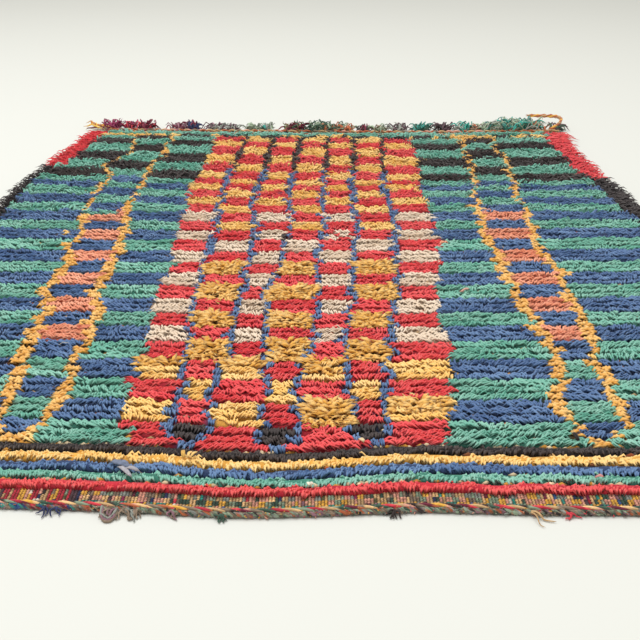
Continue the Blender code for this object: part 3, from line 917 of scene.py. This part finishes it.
def grow_locks(rng, name, knots, shared, row_lots):
    """Every lock of the knots that lie one way: their own table, path, radius, dye and side."""
    shape = LOCK_SHAPES[name]
    lock = {key: np.repeat(value, shape.locks) for key, value in knots.items()}
    shared = {key: value[lock["clump"]] for key, value in shared.items()}
    count = len(lock["x"])
    swing, reach, root_v, rise, tip_z, pull = LAY[name](rng, lock, shared)
    place = np.tile(np.linspace(-0.42, 0.42, shape.locks), len(knots["x"]))
    x = lock["x"] + KNOT_SPACING * place + rng.normal(0, 0.0008, count)
    swing = np.radians(swing)
    x = x - shape.over * reach * np.sin(swing)
    lean = np.stack([np.sin(swing), -np.cos(swing), np.zeros(count)], -1)
    root = placed(x, lock["v"] + root_v, shape.root)
    tip_x = x + (1 - pull) * (shared["middle"] - lock["x"])
    tip = placed(tip_x, lock["v"] + root_v * 0.8, 0.0) + lean * reach[:, None]
    tip[:, 2] = tip_z
    bend = root + lean * (shape.bend_at * reach)[:, None]
    bend[:, 2] += rise
    t = np.array(shape.rings)[None, :, None]
    path = (1 - t) ** 2 * root[:, None] + 2 * t * (1 - t) * bend[:, None] + t**2 * tip[:, None]
    thick = rng.uniform(0.82, 1.20, count) * (lock["depth"] / USUAL_DEPTH) ** 0.4
    radius = shape.radius * thick[:, None] * np.array(shape.profile)[None, :]
    patch_lot = 0.5 + 0.20 * drift(lock["x"], lock["v"], 0.21, 0.09, 12)
    # The rags and rail dabs vary more from lock to lock: partly their own uneven tone, partly painted
    # light and shade between the leaves.
    uneven = 0.26 if name in ("shaggy", "rail") else 0.09
    lot = 0.40 * row_lots[lock["row"]] + 0.60 * patch_lot + shared["lot"] + rng.normal(0, uneven, count)
    lot = lot + LOT_SHIFT_BY_LIE.get(name, 0.0)
    dye = np.zeros((count, len(shape.rings), 4))
    dye[..., 0] = np.clip(lot, 0, 1)[:, None]
    dye[..., 1] = shape.rings
    dye[..., 2] = rng.random(count)[:, None]
    dye[..., 3] = 1.0
    across = np.stack([-lean[:, 1], lean[:, 0], lean[:, 2]], -1)
    if name == "shaggy":
        faces_up = np.radians(rng.uniform(*RAG_FACES_UP, count)) * np.sign(lean[:, 0])
        across = across * np.cos(faces_up)[:, None]
        across[:, 2] = np.sin(faces_up)
    return lock, path, radius, dye, across


# Odd rags that were knotted in or worked loose: flat ribbons that lie on the pile. Here and in the
# tables below, a heading of 0 degrees points to the fringe, and one of 90 degrees to the right.
RAGS = table(
    "x v heading length half ribbons dye",
    (-0.270, 0.086, 132, 0.034, 0.0056, 3, "#76819A"),
    (-0.258, 0.076, 128, 0.038, 0.0044, 2, "#ACA9B0"),
    (-0.176, 0.106, -4, 0.018, 0.0030, 2, "#E8B65C"),
    (-0.170, 0.106, 34, 0.016, 0.0028, 2, "#F2C77C"),
    (0.352, 0.146, -14, 0.018, 0.0024, 3, "#26201F"),
    (-0.013, 0.050, 160, 0.010, 0.0026, 2, "#EADBC8"),
    (0.352, 0.058, 100, 0.012, 0.0030, 2, "#E39A96"),
    (-0.424, 0.430, 75, 0.026, 0.0012, 1, "#C9C2B0"),
    (0.055, 0.150, 150, 0.014, 0.0036, 2, "#E6CFA4"),
    (0.262, 0.660, 60, 0.020, 0.0034, 3, "#E4B0A0"),
)
RAG_PROFILE = np.array([0.6, 0.9, 1.0, 1.0, 0.8, 0.0])
RAG_HEIGHT = 0.0165
RAG_ARCH = 0.0040


def add_rags():
    rng = np.random.default_rng(35)
    paths, thick, hues = [], [], []
    t = np.linspace(0, 1, len(RAG_PROFILE))
    for rag in RAGS:
        for _ in range(rag.ribbons):
            heading = math.radians(rag.heading + rng.normal(0, 8))
            out = np.array([math.sin(heading), math.cos(heading), 0.0])
            start = placed(rag.x + rng.normal(0, 0.0015), rag.v, RAG_HEIGHT)
            line = start + out * (rag.length * rng.uniform(0.75, 1.05) * t)[:, None]
            line[:, 2] += RAG_ARCH * np.sin(math.pi * t * 0.85) + rng.normal(0, 0.0005, len(t))
            paths.append(line)
            thick.append(rag.half * rng.uniform(0.8, 1.1) * RAG_PROFILE)
            hues.append(np.array(linear(rag.dye)) * rng.uniform(0.8, 1.1))
    rags = strand_mesh(
        "odd_rags", np.array(paths), np.array(thick), PICK_WOOL, np.clip(hues, 0, 1), sides=4, flat=0.22
    )
    settle(rags)


def add_pile():
    rng = np.random.default_rng(37)
    knots = lay_out_knots()
    rows = np.arange(knots["row"].max() + 1)
    near_rows = np.array([row[0] for row in all_rows()]) < LAID_TO
    add_packed_roots("near_packed_roots", knots, rows[near_rows], ROLL_STEPS[0])
    add_packed_roots("far_packed_roots", knots, rows[~near_rows], ROLL_STEPS[1])
    add_weft_picks()
    add_rags()
    shared = clump_values(rng, knots)
    row_lots = rng.uniform(0.25, 0.75, knots["row"].max() + 1)
    for lie, shape in LOCK_SHAPES.items():
        lying = knots["lie"] == LIE[lie]
        these = {key: value[lying] for key, value in knots.items()}
        lock, path, radius, dye, across = grow_locks(rng, lie, these, shared, row_lots)
        for region_number, region in enumerate(REGIONS):
            for colour in COLOURS:
                chosen = (lock["region"] == region_number) & (lock["colour"] == ID[colour])
                if not chosen.any():
                    continue
                knotted = strand_mesh(
                    f"{region}_{colour}_{lie}_knots", path[chosen], radius[chosen], WOOLS[colour],
                    dye[chosen], flat=shape.flat, across=across[chosen],
                )
                settle(knotted)


add_pile()


# Both ends are woven flat, weft over warp, without knots. The wefts change colour every few
# warps, which draws short upright streaks in three tiers at the near end and one rust and tan
# band at the far end. Each bead is the hump that one weft makes over one warp.

YARNS = {
    "grey_green": "#8A9A82", "dark_green": "#3C5648", "navy": "#2F3860", "crimson": "#B5303F",
    "salmon": "#DFA08A", "white": "#EDE0CE", "gold": "#E8B04A", "teal": "#3B8C80",
    "peach": "#F0C48C", "terracotta": "#B4633F", "tan": "#C9A476", "grey_brown": "#8B7866",
    "wine": "#6E2438", "magenta": "#8E2F58", "mauve": "#8C6672", "olive": "#6B6A44",
    "purple_brown": "#5A4149", "brown_black": "#352A28", "bright_teal": "#2E9183", "grey": "#8D9088",
    "blue": "#3B5C92", "scarlet": "#D6404C",
}
NEAR_TIERS = table(
    "v_from v_to dyes",
    (0.0124, 0.0200, "gold tan salmon gold grey_green gold teal tan"),
    (0.0200, 0.0290, "salmon gold grey_green salmon dark_green tan peach grey_brown"),
    (0.0290, 0.0410, "grey_green salmon grey_brown peach dark_green tan gold grey"),
)
NEAR_LEFT_DYES = "navy crimson gold white crimson tan salmon purple_brown"
NEAR_LEFT_ENDS = -0.30
LEFT_STREAKS_SEED = 57
FAR_TIERS = table(
    "v_from v_to dyes",
    (1.9080, 1.9300, "tan terracotta grey_green teal tan dark_green"),
    (1.9300, 1.9480, "terracotta tan salmon terracotta brown_black"),
    (1.9480, 1.9645, "teal grey_green tan terracotta gold tan"),
)
# How high a bead rises, how far apart the wefts lie, and how far apart the warps
NEAR_WEAVE = {"rise": 0.0016, "pitch": 0.0021, "spacing": 0.0041}
FAR_WEAVE = {"rise": 0.0018, "pitch": 0.0044, "spacing": 0.0075}
WEFT_OFFSET = 0.14
STREAK = (0.0050, 0.0115)
LEFT_STREAK = (0.0038, 0.0072)
STREAKS = 420
STREAK_CHOICES = 8
FLECKS = 0.16
MIXED_YARN = dyed_yarn("mixed_leftover_yarn", 0.006)


def dyes_of(names):
    """The colours of yarns, one a row."""
    return np.array([linear(YARNS[name]) for name in names.split()])


def streaks(rng, x, widths, names):
    """A dye for each bead, which changes from streak to streak."""
    edges = np.cumsum(rng.uniform(*widths, STREAKS)) + x[0]
    choice = np.cumsum(rng.integers(1, STREAK_CHOICES, STREAKS + 1)) % STREAK_CHOICES
    palette = dyes_of(names)
    return palette[choice[np.searchsorted(edges, x)] % len(palette)]


def weft_dyes(rng, x, tier, left_dyes=None):
    """One row's dye for each bead, streak by streak; the same rng state gives the same streaks."""
    dyes = streaks(rng, x, STREAK, tier.dyes)
    if left_dyes:
        strong = streaks(np.random.default_rng(LEFT_STREAKS_SEED), x, LEFT_STREAK, left_dyes)
        dyes = np.where((x < NEAR_LEFT_ENDS)[:, None], strong, dyes)
    flecks = rng.random(len(x)) < FLECKS
    every = dyes_of(" ".join(YARNS))
    dyes[flecks] = every[rng.integers(0, len(every), flecks.sum())]
    return dyes


def add_flat_weave(name, tiers, seed, rise, pitch, spacing, left_dyes=None):
    """Rows of weft beads, each an eight-faced lens half sunk in the ground."""
    rng = np.random.default_rng(seed)
    centres, dyes = [], []
    for number, tier in enumerate(tiers):
        rows = round((tier.v_to - tier.v_from) / pitch)
        for row in range(rows):
            v = tier.v_from + (row + 0.5) * (tier.v_to - tier.v_from) / rows
            left, right = sides_at(v)
            x = np.arange(left + 0.004, right - 0.004, spacing) + (row % 2) * spacing * WEFT_OFFSET
            row_dyes = weft_dyes(np.random.default_rng(seed + number), x, tier, left_dyes)
            light = rng.uniform(0.62, 1.10, (len(x), 1))
            dyes.append(np.clip(row_dyes * light, 0, 1))
            centres.append(placed(x, v, GROUND_THICKNESS + rise * 0.4))
    centres, dyes = np.concatenate(centres), np.concatenate(dyes)
    dyes[:, 3] = 1.0
    half = (spacing * 0.70, pitch * 0.58, rise) * rng.uniform(0.80, 1.20, centres.shape)
    add_beads(name, centres, half, dyes, MIXED_YARN)


add_flat_weave("near_flat_weave", NEAR_TIERS, 50, **NEAR_WEAVE, left_dyes=NEAR_LEFT_DYES)
add_flat_weave("far_flat_weave", FAR_TIERS, 60, **FAR_WEAVE)


# The near edge is finished by hand. Three plies of leftover yarn are twined along the last weft,
# one gold and tan, one red and one dark. Outside them the warp ends are rolled and wrapped into a
# rough braid of eight strands, with a few loose ends and one slack loop.

PARTING = 0.0003
BRAID_RADIUS = 0.0058
BRAID_HEIGHT = 0.0038
BRAID_COIL = BRAID_RADIUS * 0.50
BRAID_STRAND_RADIUS = BRAID_RADIUS * 0.36
BRAID_STRANDS = 8
BRAID_PITCH = 0.030
BRAID_FIBRES = 900
BRAID_STEP = 0.004
BRAID_DYES = "grey_brown grey_green grey grey_brown dark_green terracotta grey_green mauve brown_black"
BRAID_LEFT_DYES = "navy crimson grey_brown blue grey_brown teal wine"
BRAID_V = CLOTH_START - PARTING - BRAID_RADIUS
BRAID_OUTER_V = CLOTH_START - BRAID_RADIUS * 1.5
TWINE_RADIUS = 0.0016
TWINE_PITCH = 0.046
TWINE_STRETCH = (0.013, 0.034)
TWINE_BEFORE_WEFT = 0.0045
TWINE_ABOVE_BRAID = 0.0046
NEAR_TWINE_DYES = (
    "gold tan peach grey_brown tan salmon", "scarlet crimson wine scarlet terracotta",
    "brown_black grey_brown dark_green grey_green",
)
LOOP_X = -0.2560
LOOP_HALF_WIDTH = 0.0085
LOOP_REACH = 0.021
LOOP_RINGS = 14
LOOP_PLIES = 3
WIDEST_RUG = 1.6
HIGHEST_YARN = 0.033
LOOSE_RADIUS = 0.0015
LOOSE_RINGS = 10
NEAR_ENDS = table(
    "x heading length ends dye",
    (-0.3370, 200, 0.018, 3, "navy"),
    (-0.3225, 168, 0.016, 3, "navy"),
    (-0.2630, 150, 0.026, 6, "grey_brown"),
    (-0.2500, 204, 0.020, 3, "mauve"),
    (-0.2400, 150, 0.022, 5, "grey_brown"),
    (-0.2290, 195, 0.022, 5, "grey"),
    (-0.2220, 160, 0.018, 4, "grey_brown"),
    (-0.1800, 175, 0.015, 3, "mauve"),
    (-0.1730, 195, 0.013, 3, "grey_brown"),
    (-0.1195, 180, 0.014, 6, "dark_green"),
    (0.0950, 182, 0.017, 7, "brown_black"),
    (0.2580, 112, 0.032, 3, "tan"),
    (0.3060, 150, 0.018, 3, "scarlet"),
)


def rope_strands(v, height, coil, radius, strands, pitch, swell=0.0):
    """The paths and radii of strands that wind round one line across the rug at v."""
    left, right = sides_at(v)
    x = np.arange(left + 0.003, right - 0.003, BRAID_STEP)
    turn = 2 * math.pi * (x[None, :] / pitch + np.arange(strands)[:, None] / strands)
    line_v = v + coil * np.cos(turn)
    thick = radius * (1 + swell * np.sin(turn))
    z = np.maximum(height + coil * np.sin(turn), thick * 1.3)
    return placed(np.broadcast_to(x, turn.shape), line_v, z), thick


def stretches(rng, x, dyes, shortest, longest):
    """A dye for each x, which changes every so often along a strand."""
    edges = np.cumsum(rng.uniform(shortest, longest, int(WIDEST_RUG / shortest))) + x[0]
    palette = dyes_of(dyes)
    choice = rng.integers(0, len(palette), len(edges) + 1)
    return palette[choice[np.searchsorted(edges, x)]]


def add_braid():
    rng = np.random.default_rng(71)
    path, thick = rope_strands(
        BRAID_V, BRAID_HEIGHT, BRAID_COIL, BRAID_STRAND_RADIUS, BRAID_STRANDS, BRAID_PITCH
    )
    x = path[0, :, 0]
    dye = []
    for _ in range(BRAID_STRANDS):
        strand = stretches(rng, x, BRAID_DYES, 0.004, 0.009)
        strong = stretches(rng, x, BRAID_LEFT_DYES, 0.004, 0.010)
        dye.append(np.where((x < NEAR_LEFT_ENDS)[:, None], strong, strand))
    dye = np.clip(np.array(dye) * rng.uniform(0.6, 1.35, (*thick.shape, 1)), 0, 1)
    path[..., 1] += rng.normal(0, 0.0005, thick.shape)
    path[..., 2] += rng.uniform(0, 0.0009, thick.shape)
    thick = thick * rng.uniform(0.65, 1.25, thick.shape)
    return strand_mesh("edge_braid", path, thick, MIXED_YARN, dye, sides=4)


def add_braid_fibres():
    """Short fibre ends that stand out of the braid and make it rough."""
    rng = np.random.default_rng(72)
    left, right = sides_at(0.0)
    x = rng.uniform(left + 0.006, right - 0.006, BRAID_FIBRES)
    turn = rng.uniform(-0.3, math.pi * 0.95, BRAID_FIBRES)
    out = np.stack([rng.normal(0, 0.7, BRAID_FIBRES), -np.cos(turn), np.sin(turn)], -1)
    middle = placed(x, BRAID_V, BRAID_HEIGHT)
    root = middle + out * 0.0036
    length = rng.uniform(0.0020, 0.0052, (BRAID_FIBRES, 1))
    path = np.stack([root, root + out * length * 0.6, root + out * length], axis=1)
    path[:, 1, 0] += rng.normal(0, 0.001, BRAID_FIBRES)
    path[..., 2] = np.maximum(path[..., 2], 0.0008)
    thick = rng.uniform(0.0005, 0.0010, (BRAID_FIBRES, 1)) * np.array([1.3, 1.0, 0.0])
    palette = dyes_of(BRAID_DYES + " gold salmon scarlet")
    dye = palette[rng.integers(0, len(palette), BRAID_FIBRES)]
    return strand_mesh("edge_braid_fibres", path, thick, MIXED_YARN, dye)


def add_twining(name, v, height, radius, dyes, seed):
    rng = np.random.default_rng(seed)
    path, thick = rope_strands(v, height, radius * 0.9, radius, len(dyes), TWINE_PITCH, 0.35)
    x = path[0, :, 0]
    dye = [stretches(rng, x, ply, *TWINE_STRETCH) for ply in dyes]
    return strand_mesh(name, path, thick, MIXED_YARN, np.array(dye), sides=5)


def loose_yarns(rng, starts, headings, lengths, radius, curl, hump, rings=14, fall=(1.0, 1.9)):
    """Yarns that leave a start at a heading and curl as they go; those whose fall is 1 or more
    sink to the floor before their end, and the others end in the air.
    """
    count = len(starts)
    t = np.linspace(0, 1, rings)
    bend = rng.normal(0, curl, (count, 3))
    turn = headings[:, None] + bend[:, :1] * np.sin(math.pi * t) + bend[:, 1:2] * t**2
    turn = turn + bend[:, 2:] * np.sin(2.4 * math.pi * t)
    step = (lengths / (rings - 1))[:, None]
    dx = np.cumsum(step * np.sin(turn), axis=1) - step * np.sin(turn)
    dy = np.cumsum(step * np.cos(turn), axis=1) - step * np.cos(turn)
    arch = hump[:, None] * np.sin(math.pi * np.clip(t * rng.uniform(*fall, (count, 1)), 0, 1)) ** 1.2
    ripple = 0.25 * hump[:, None] * np.sin(3 * math.pi * t + rng.uniform(0, 6, (count, 1))) * t
    z = starts[:, 2:3] * (1 - t) ** 2 + arch + ripple
    z = np.clip(z, radius[:, None] * 1.05, HIGHEST_YARN)
    return np.stack([starts[:, :1] + dx, starts[:, 1:2] + dy, z], axis=-1)


def add_near_ends():
    rng = np.random.default_rng(79)
    starts, headings, lengths, hues = [], [], [], []
    for loose in NEAR_ENDS:
        for _ in range(loose.ends):
            starts.append(placed(loose.x + rng.normal(0, 0.0022), BRAID_OUTER_V, BRAID_RADIUS))
            headings.append(math.radians(loose.heading + rng.normal(0, 13)))
            lengths.append(loose.length * rng.uniform(0.7, 1.1))
            hues.append(np.array(linear(YARNS[loose.dye])) * rng.uniform(0.8, 1.2))
    starts, count = np.array(starts), len(starts)
    path = loose_yarns(
        rng, starts, np.array(headings), np.array(lengths), np.full(count, LOOSE_RADIUS * 1.4), 0.7,
        rng.uniform(0.002, 0.006, count), LOOSE_RINGS,
    )
    taper = np.linspace(1.1, 0.4, LOOSE_RINGS)[None, :]
    thick = LOOSE_RADIUS * rng.uniform(0.8, 1.3, (count, 1)) * taper
    return strand_mesh(
        "edge_loose_ends", path, thick, MIXED_YARN, np.clip(hues, 0, 1), sides=5, flat=0.7
    )


def add_loop():
    """A slack loop of leftover yarn that hangs out of the braid and lies on the floor."""
    rng = np.random.default_rng(83)
    turn = np.linspace(-0.15, math.pi + 0.15, LOOP_RINGS)
    paths = []
    for ply in range(LOOP_PLIES):
        reach = LOOP_REACH * (1 - 0.09 * ply)
        ripple = 0.0011 * np.sin(3 * turn + 2.1 * ply)
        x = LOOP_X - LOOP_HALF_WIDTH * np.cos(turn) * (1 + 0.2 * np.sin(turn)) + ripple
        v = BRAID_OUTER_V - reach * np.sin(turn) + rng.normal(0, 0.0008, LOOP_RINGS)
        z = LOOP_HALF_WIDTH * 0.45 * (1 - np.sin(turn).clip(0, 1)) + 0.0020 + 0.0012 * ply
        paths.append(placed(x + rng.normal(0, 0.0006, LOOP_RINGS), v, z))
    thick = 0.0016 * rng.uniform(0.85, 1.25, (LOOP_PLIES, LOOP_RINGS))
    dyes = dyes_of("grey_brown mauve grey")
    return strand_mesh("edge_loop", np.array(paths), thick, MIXED_YARN, dyes, sides=5)


braid = add_braid()
fibres = add_braid_fibres()
near_twining = add_twining(
    "edge_twining", CLOTH_START - TWINE_BEFORE_WEFT, BRAID_HEIGHT + TWINE_ABOVE_BRAID,
    TWINE_RADIUS, NEAR_TWINE_DYES, 73,
)
near_ends = add_near_ends()
loop = add_loop()
for edging in (braid, fibres, near_twining, near_ends, loop):
    settle(edging)
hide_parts("edge_braid_near")


# The fringe is the warp ends beyond the last weft, knotted in bunches with leftover yarn of many
# dyes. The bunches curl as they lie on the floor, with bare warps and gaps between them.

BUNCHES = table(
    "x spread yarns length heading dyes",
    (-0.672, 0.010, 2, 0.080, -80, "gold peach"),
    (-0.635, 0.022, 16, 0.085, -10, "wine magenta magenta"),
    (-0.595, 0.016, 11, 0.075, 12, "wine magenta crimson"),
    (-0.535, 0.022, 16, 0.075, 0, "crimson wine wine"),
    (-0.440, 0.014, 12, 0.070, 15, "wine mauve"),
    (-0.395, 0.016, 12, 0.080, 22, "navy wine navy"),
    (-0.315, 0.022, 14, 0.065, -8, "purple_brown grey mauve"),
    (-0.265, 0.014, 10, 0.060, 5, "purple_brown grey"),
    (-0.205, 0.016, 11, 0.065, 10, "grey_green grey grey_green"),
    (-0.155, 0.014, 10, 0.070, -12, "grey_green teal grey"),
    (-0.100, 0.012, 9, 0.075, 28, "wine olive"),
    (-0.062, 0.012, 9, 0.080, 10, "olive wine dark_green"),
    (-0.030, 0.018, 14, 0.100, 62, "dark_green dark_green grey_green"),
    (0.035, 0.022, 14, 0.080, 30, "grey_green dark_green terracotta"),
    (0.095, 0.018, 12, 0.070, -20, "grey_green terracotta"),
    (0.145, 0.010, 8, 0.060, 0, "wine brown_black"),
    (0.182, 0.016, 11, 0.065, 12, "grey_green grey_brown"),
    (0.255, 0.016, 11, 0.070, -12, "grey purple_brown"),
    (0.310, 0.020, 14, 0.085, 20, "teal dark_green teal"),
    (0.390, 0.018, 13, 0.075, -15, "brown_black purple_brown"),
    (0.450, 0.016, 12, 0.085, 8, "teal grey bright_teal"),
    (0.488, 0.010, 8, 0.060, 0, "grey_brown terracotta"),
    (0.525, 0.018, 13, 0.075, -10, "teal grey grey_green"),
    (0.590, 0.024, 24, 0.118, -8, "bright_teal grey teal grey_green"),
    (0.635, 0.026, 24, 0.118, 14, "grey teal bright_teal grey_green"),
    (0.692, 0.012, 9, 0.070, -30, "grey terracotta"),
    (0.722, 0.012, 9, 0.075, 25, "dark_green purple_brown"),
)
YARN_RADIUS = 0.0023
YARN_RINGS = 7
PLIES = 3
BARE_WARPS = 150
BARE_WARP_RADIUS = 0.0013
BARE_WARP_RINGS = 8
FAR_TWINE = 0.0024
FAR_TWINE_DYES = ("tan terracotta salmon tan", "salmon grey_brown terracotta tan")


def add_fringe():
    """Bushy bunches: the plies of every yarn spread, arch and end a little way from each other."""
    rng = np.random.default_rng(83)
    starts, headings, lengths, hues, humps = [], [], [], [], []
    for bunch in BUNCHES:
        palette = dyes_of(bunch.dyes)
        lean = math.tan(math.radians(bunch.heading))
        for _ in range(bunch.yarns * PLIES):
            along = bunch.length * 0.42 * rng.random() ** 1.3
            x = bunch.x + rng.normal(0, bunch.spread * 0.45) + min(1.0, max(-1.0, lean)) * along
            starts.append(placed(x, CLOTH_END - 0.002, rng.uniform(0.003, 0.009)) + (0, along, 0))
            headings.append(math.radians(bunch.heading + rng.normal(0, 46)))
            lengths.append(bunch.length * rng.uniform(0.36, 0.72))
            hues.append(palette[rng.integers(len(palette))] * rng.uniform(0.8, 1.8))
            humps.append(rng.uniform(0.010, 0.027) * (bunch.length / 0.080) ** 0.7)
    starts, count = np.array(starts), len(starts)
    thick = YARN_RADIUS * rng.uniform(0.7, 1.3, (count, 1))
    path = loose_yarns(
        rng, starts, np.array(headings), np.array(lengths), thick[:, 0], 0.75, np.array(humps),
        YARN_RINGS, (0.5, 1.3),
    )
    taper = np.interp(np.linspace(0, 1, YARN_RINGS), (0, 0.2, 0.7, 1), (0.8, 1.0, 0.9, 0.4))
    hues = np.clip(hues, 0, 1)
    hues[:, 3] = 1.0
    return strand_mesh("fringe_bunches", path, thick * taper, MIXED_YARN, hues)


# The two cords at the corners, point by point: x, how far beyond the cloth, and height
CORNER_CORDS = (
    (
        (-0.640, -0.004, 0.009), (-0.655, 0.010, 0.012), (-0.672, 0.018, 0.014),
        (-0.690, 0.022, 0.012), (-0.706, 0.030, 0.018), (-0.712, 0.042, 0.022),
    ),
    (
        (0.712, -0.006, 0.010), (0.742, 0.020, 0.020), (0.762, 0.055, 0.027), (0.760, 0.090, 0.030),
        (0.736, 0.120, 0.026), (0.700, 0.140, 0.022), (0.668, 0.154, 0.020),
    ),
)
CORD_DYES = "gold terracotta tan terracotta"
CORD_RADIUS = 0.0038
CORD_COIL = 0.0034
CORD_TURNS = 4
CORD_RINGS = 12


def add_corner_cords():
    rng = np.random.default_rng(85)
    paths, hues = [], []
    t = np.linspace(0, 1, CORD_RINGS)
    plies = dyes_of(CORD_DYES)
    for points in CORNER_CORDS:
        points = np.array(points)
        given = np.linspace(0, 1, len(points))
        line = np.stack([np.interp(t, given, points[:, k]) for k in range(3)], -1)
        line[:, 1] = placed(points[0, 0], CLOTH_END, 0.0)[1] + line[:, 1]
        for number, dye in enumerate(plies):
            turn = 2 * math.pi * (t * CORD_TURNS + number / len(plies))
            side = np.stack([0 * t, np.cos(turn), np.sin(turn)], -1) * CORD_COIL
            paths.append(line + side + rng.normal(0, 0.0003, line.shape))
            hues.append(dye * rng.uniform(0.9, 1.15))
    thick = np.full((len(paths), 1), CORD_RADIUS) * np.linspace(1.1, 0.75, CORD_RINGS)
    return strand_mesh("corner_cords", np.array(paths), thick, MIXED_YARN, np.clip(hues, 0, 1), sides=5)


def add_bare_warps():
    """Short single warp ends between the bunches."""
    rng = np.random.default_rng(89)
    left, right = sides_at(CLOTH_END)
    x = np.linspace(left + 0.01, right - 0.01, BARE_WARPS) + rng.normal(0, 0.003, BARE_WARPS)
    starts = placed(x, CLOTH_END - 0.002, 0.004)
    headings = np.radians(rng.normal(0, 35, BARE_WARPS))
    lengths = rng.uniform(0.012, 0.040, BARE_WARPS)
    thick = np.full((BARE_WARPS, 1), BARE_WARP_RADIUS)
    path = loose_yarns(
        rng, starts, headings, lengths, thick[:, 0], 0.8, lengths * 0.12, BARE_WARP_RINGS
    )
    palette = dyes_of("tan terracotta grey_brown peach")
    dye = palette[rng.integers(0, len(palette), BARE_WARPS)]
    taper = np.linspace(1.1, 0.6, BARE_WARP_RINGS)
    return strand_mesh("fringe_bare_warps", path, thick * taper, MIXED_YARN, dye, sides=5)


fringe = add_fringe()
bare_warps = add_bare_warps()
cords = add_corner_cords()
far_twining = add_twining(
    "far_twining", CLOTH_END - TWINE_BEFORE_WEFT, GROUND_THICKNESS + FAR_TWINE * 1.5,
    FAR_TWINE, FAR_TWINE_DYES, 91,
)
for yarn in (fringe, bare_warps, cords, far_twining):
    settle(yarn)
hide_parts("fringe_far")


# The rug lies on a plain pale floor under a large soft light, seen by a camera about 0.7 m up
# and 1 m before the braid.

FLOOR_SIZE = 60.0
LIGHT_PLACE = (-1.2, -0.1, 5.6)
LIGHT_SIZE = 6.0
LIGHT_POWER = 345.0
SKY_STRENGTH = 0.66


def add_floor():
    material = bpy.data.materials.new("pale_painted_floor")
    material.use_nodes = True
    shader = material.node_tree.nodes["Principled BSDF"]
    shader.inputs["Base Color"].default_value = linear("#D6D7D2")
    shader.inputs["Roughness"].default_value = 0.9
    shader.inputs["Specular IOR Level"].default_value = 0.1
    half = FLOOR_SIZE / 2
    points = [(-half, -half, 0), (half, -half, 0), (half, half, 0), (-half, half, 0)]
    return add_mesh("pale_floor", points, (0, 1, 2, 3), (4,), material, smooth=False)


def add_overhead_light():
    """A square soft light that faces the middle of the rug."""
    lamp = bpy.data.lights.new("soft_overhead_light", "AREA")
    lamp.shape = "RECTANGLE"
    lamp.size = LIGHT_SIZE
    lamp.size_y = LIGHT_SIZE
    lamp.energy = LIGHT_POWER
    made = bpy.data.objects.new("soft_overhead_light", lamp)
    made.location = LIGHT_PLACE
    x, y, z = LIGHT_PLACE
    made.rotation_euler = (math.atan2(math.hypot(x, y), z), 0, math.atan2(x, -y))
    bpy.context.scene.collection.objects.link(made)


floor = add_floor()

add_overhead_light()
world = bpy.data.worlds.new("pale_studio")
world.use_nodes = True
sky = world.node_tree.nodes["Background"]
sky.inputs["Color"].default_value = linear("#FFFDF6")
sky.inputs["Strength"].default_value = SKY_STRENGTH
bpy.context.scene.world = world
bpy.context.scene.view_settings.view_transform = "Standard"

CAMERA_V = -0.967
CAMERA_HEIGHT = 0.705
CAMERA_PITCH = 24.9
camera_data = bpy.data.cameras.new("camera")
camera_data.lens = 54.0
camera_data.sensor_width = 36.0
camera_data.shift_x = 0.003
camera_data.shift_y = 0.0102
camera = bpy.data.objects.new("camera", camera_data)
camera.location = (0.0, CAMERA_V - MIDDLE_V, CAMERA_HEIGHT)
camera.rotation_euler = (math.radians(90 - CAMERA_PITCH), 0.0, 0.0)
bpy.context.scene.collection.objects.link(camera)
bpy.context.scene.camera = camera
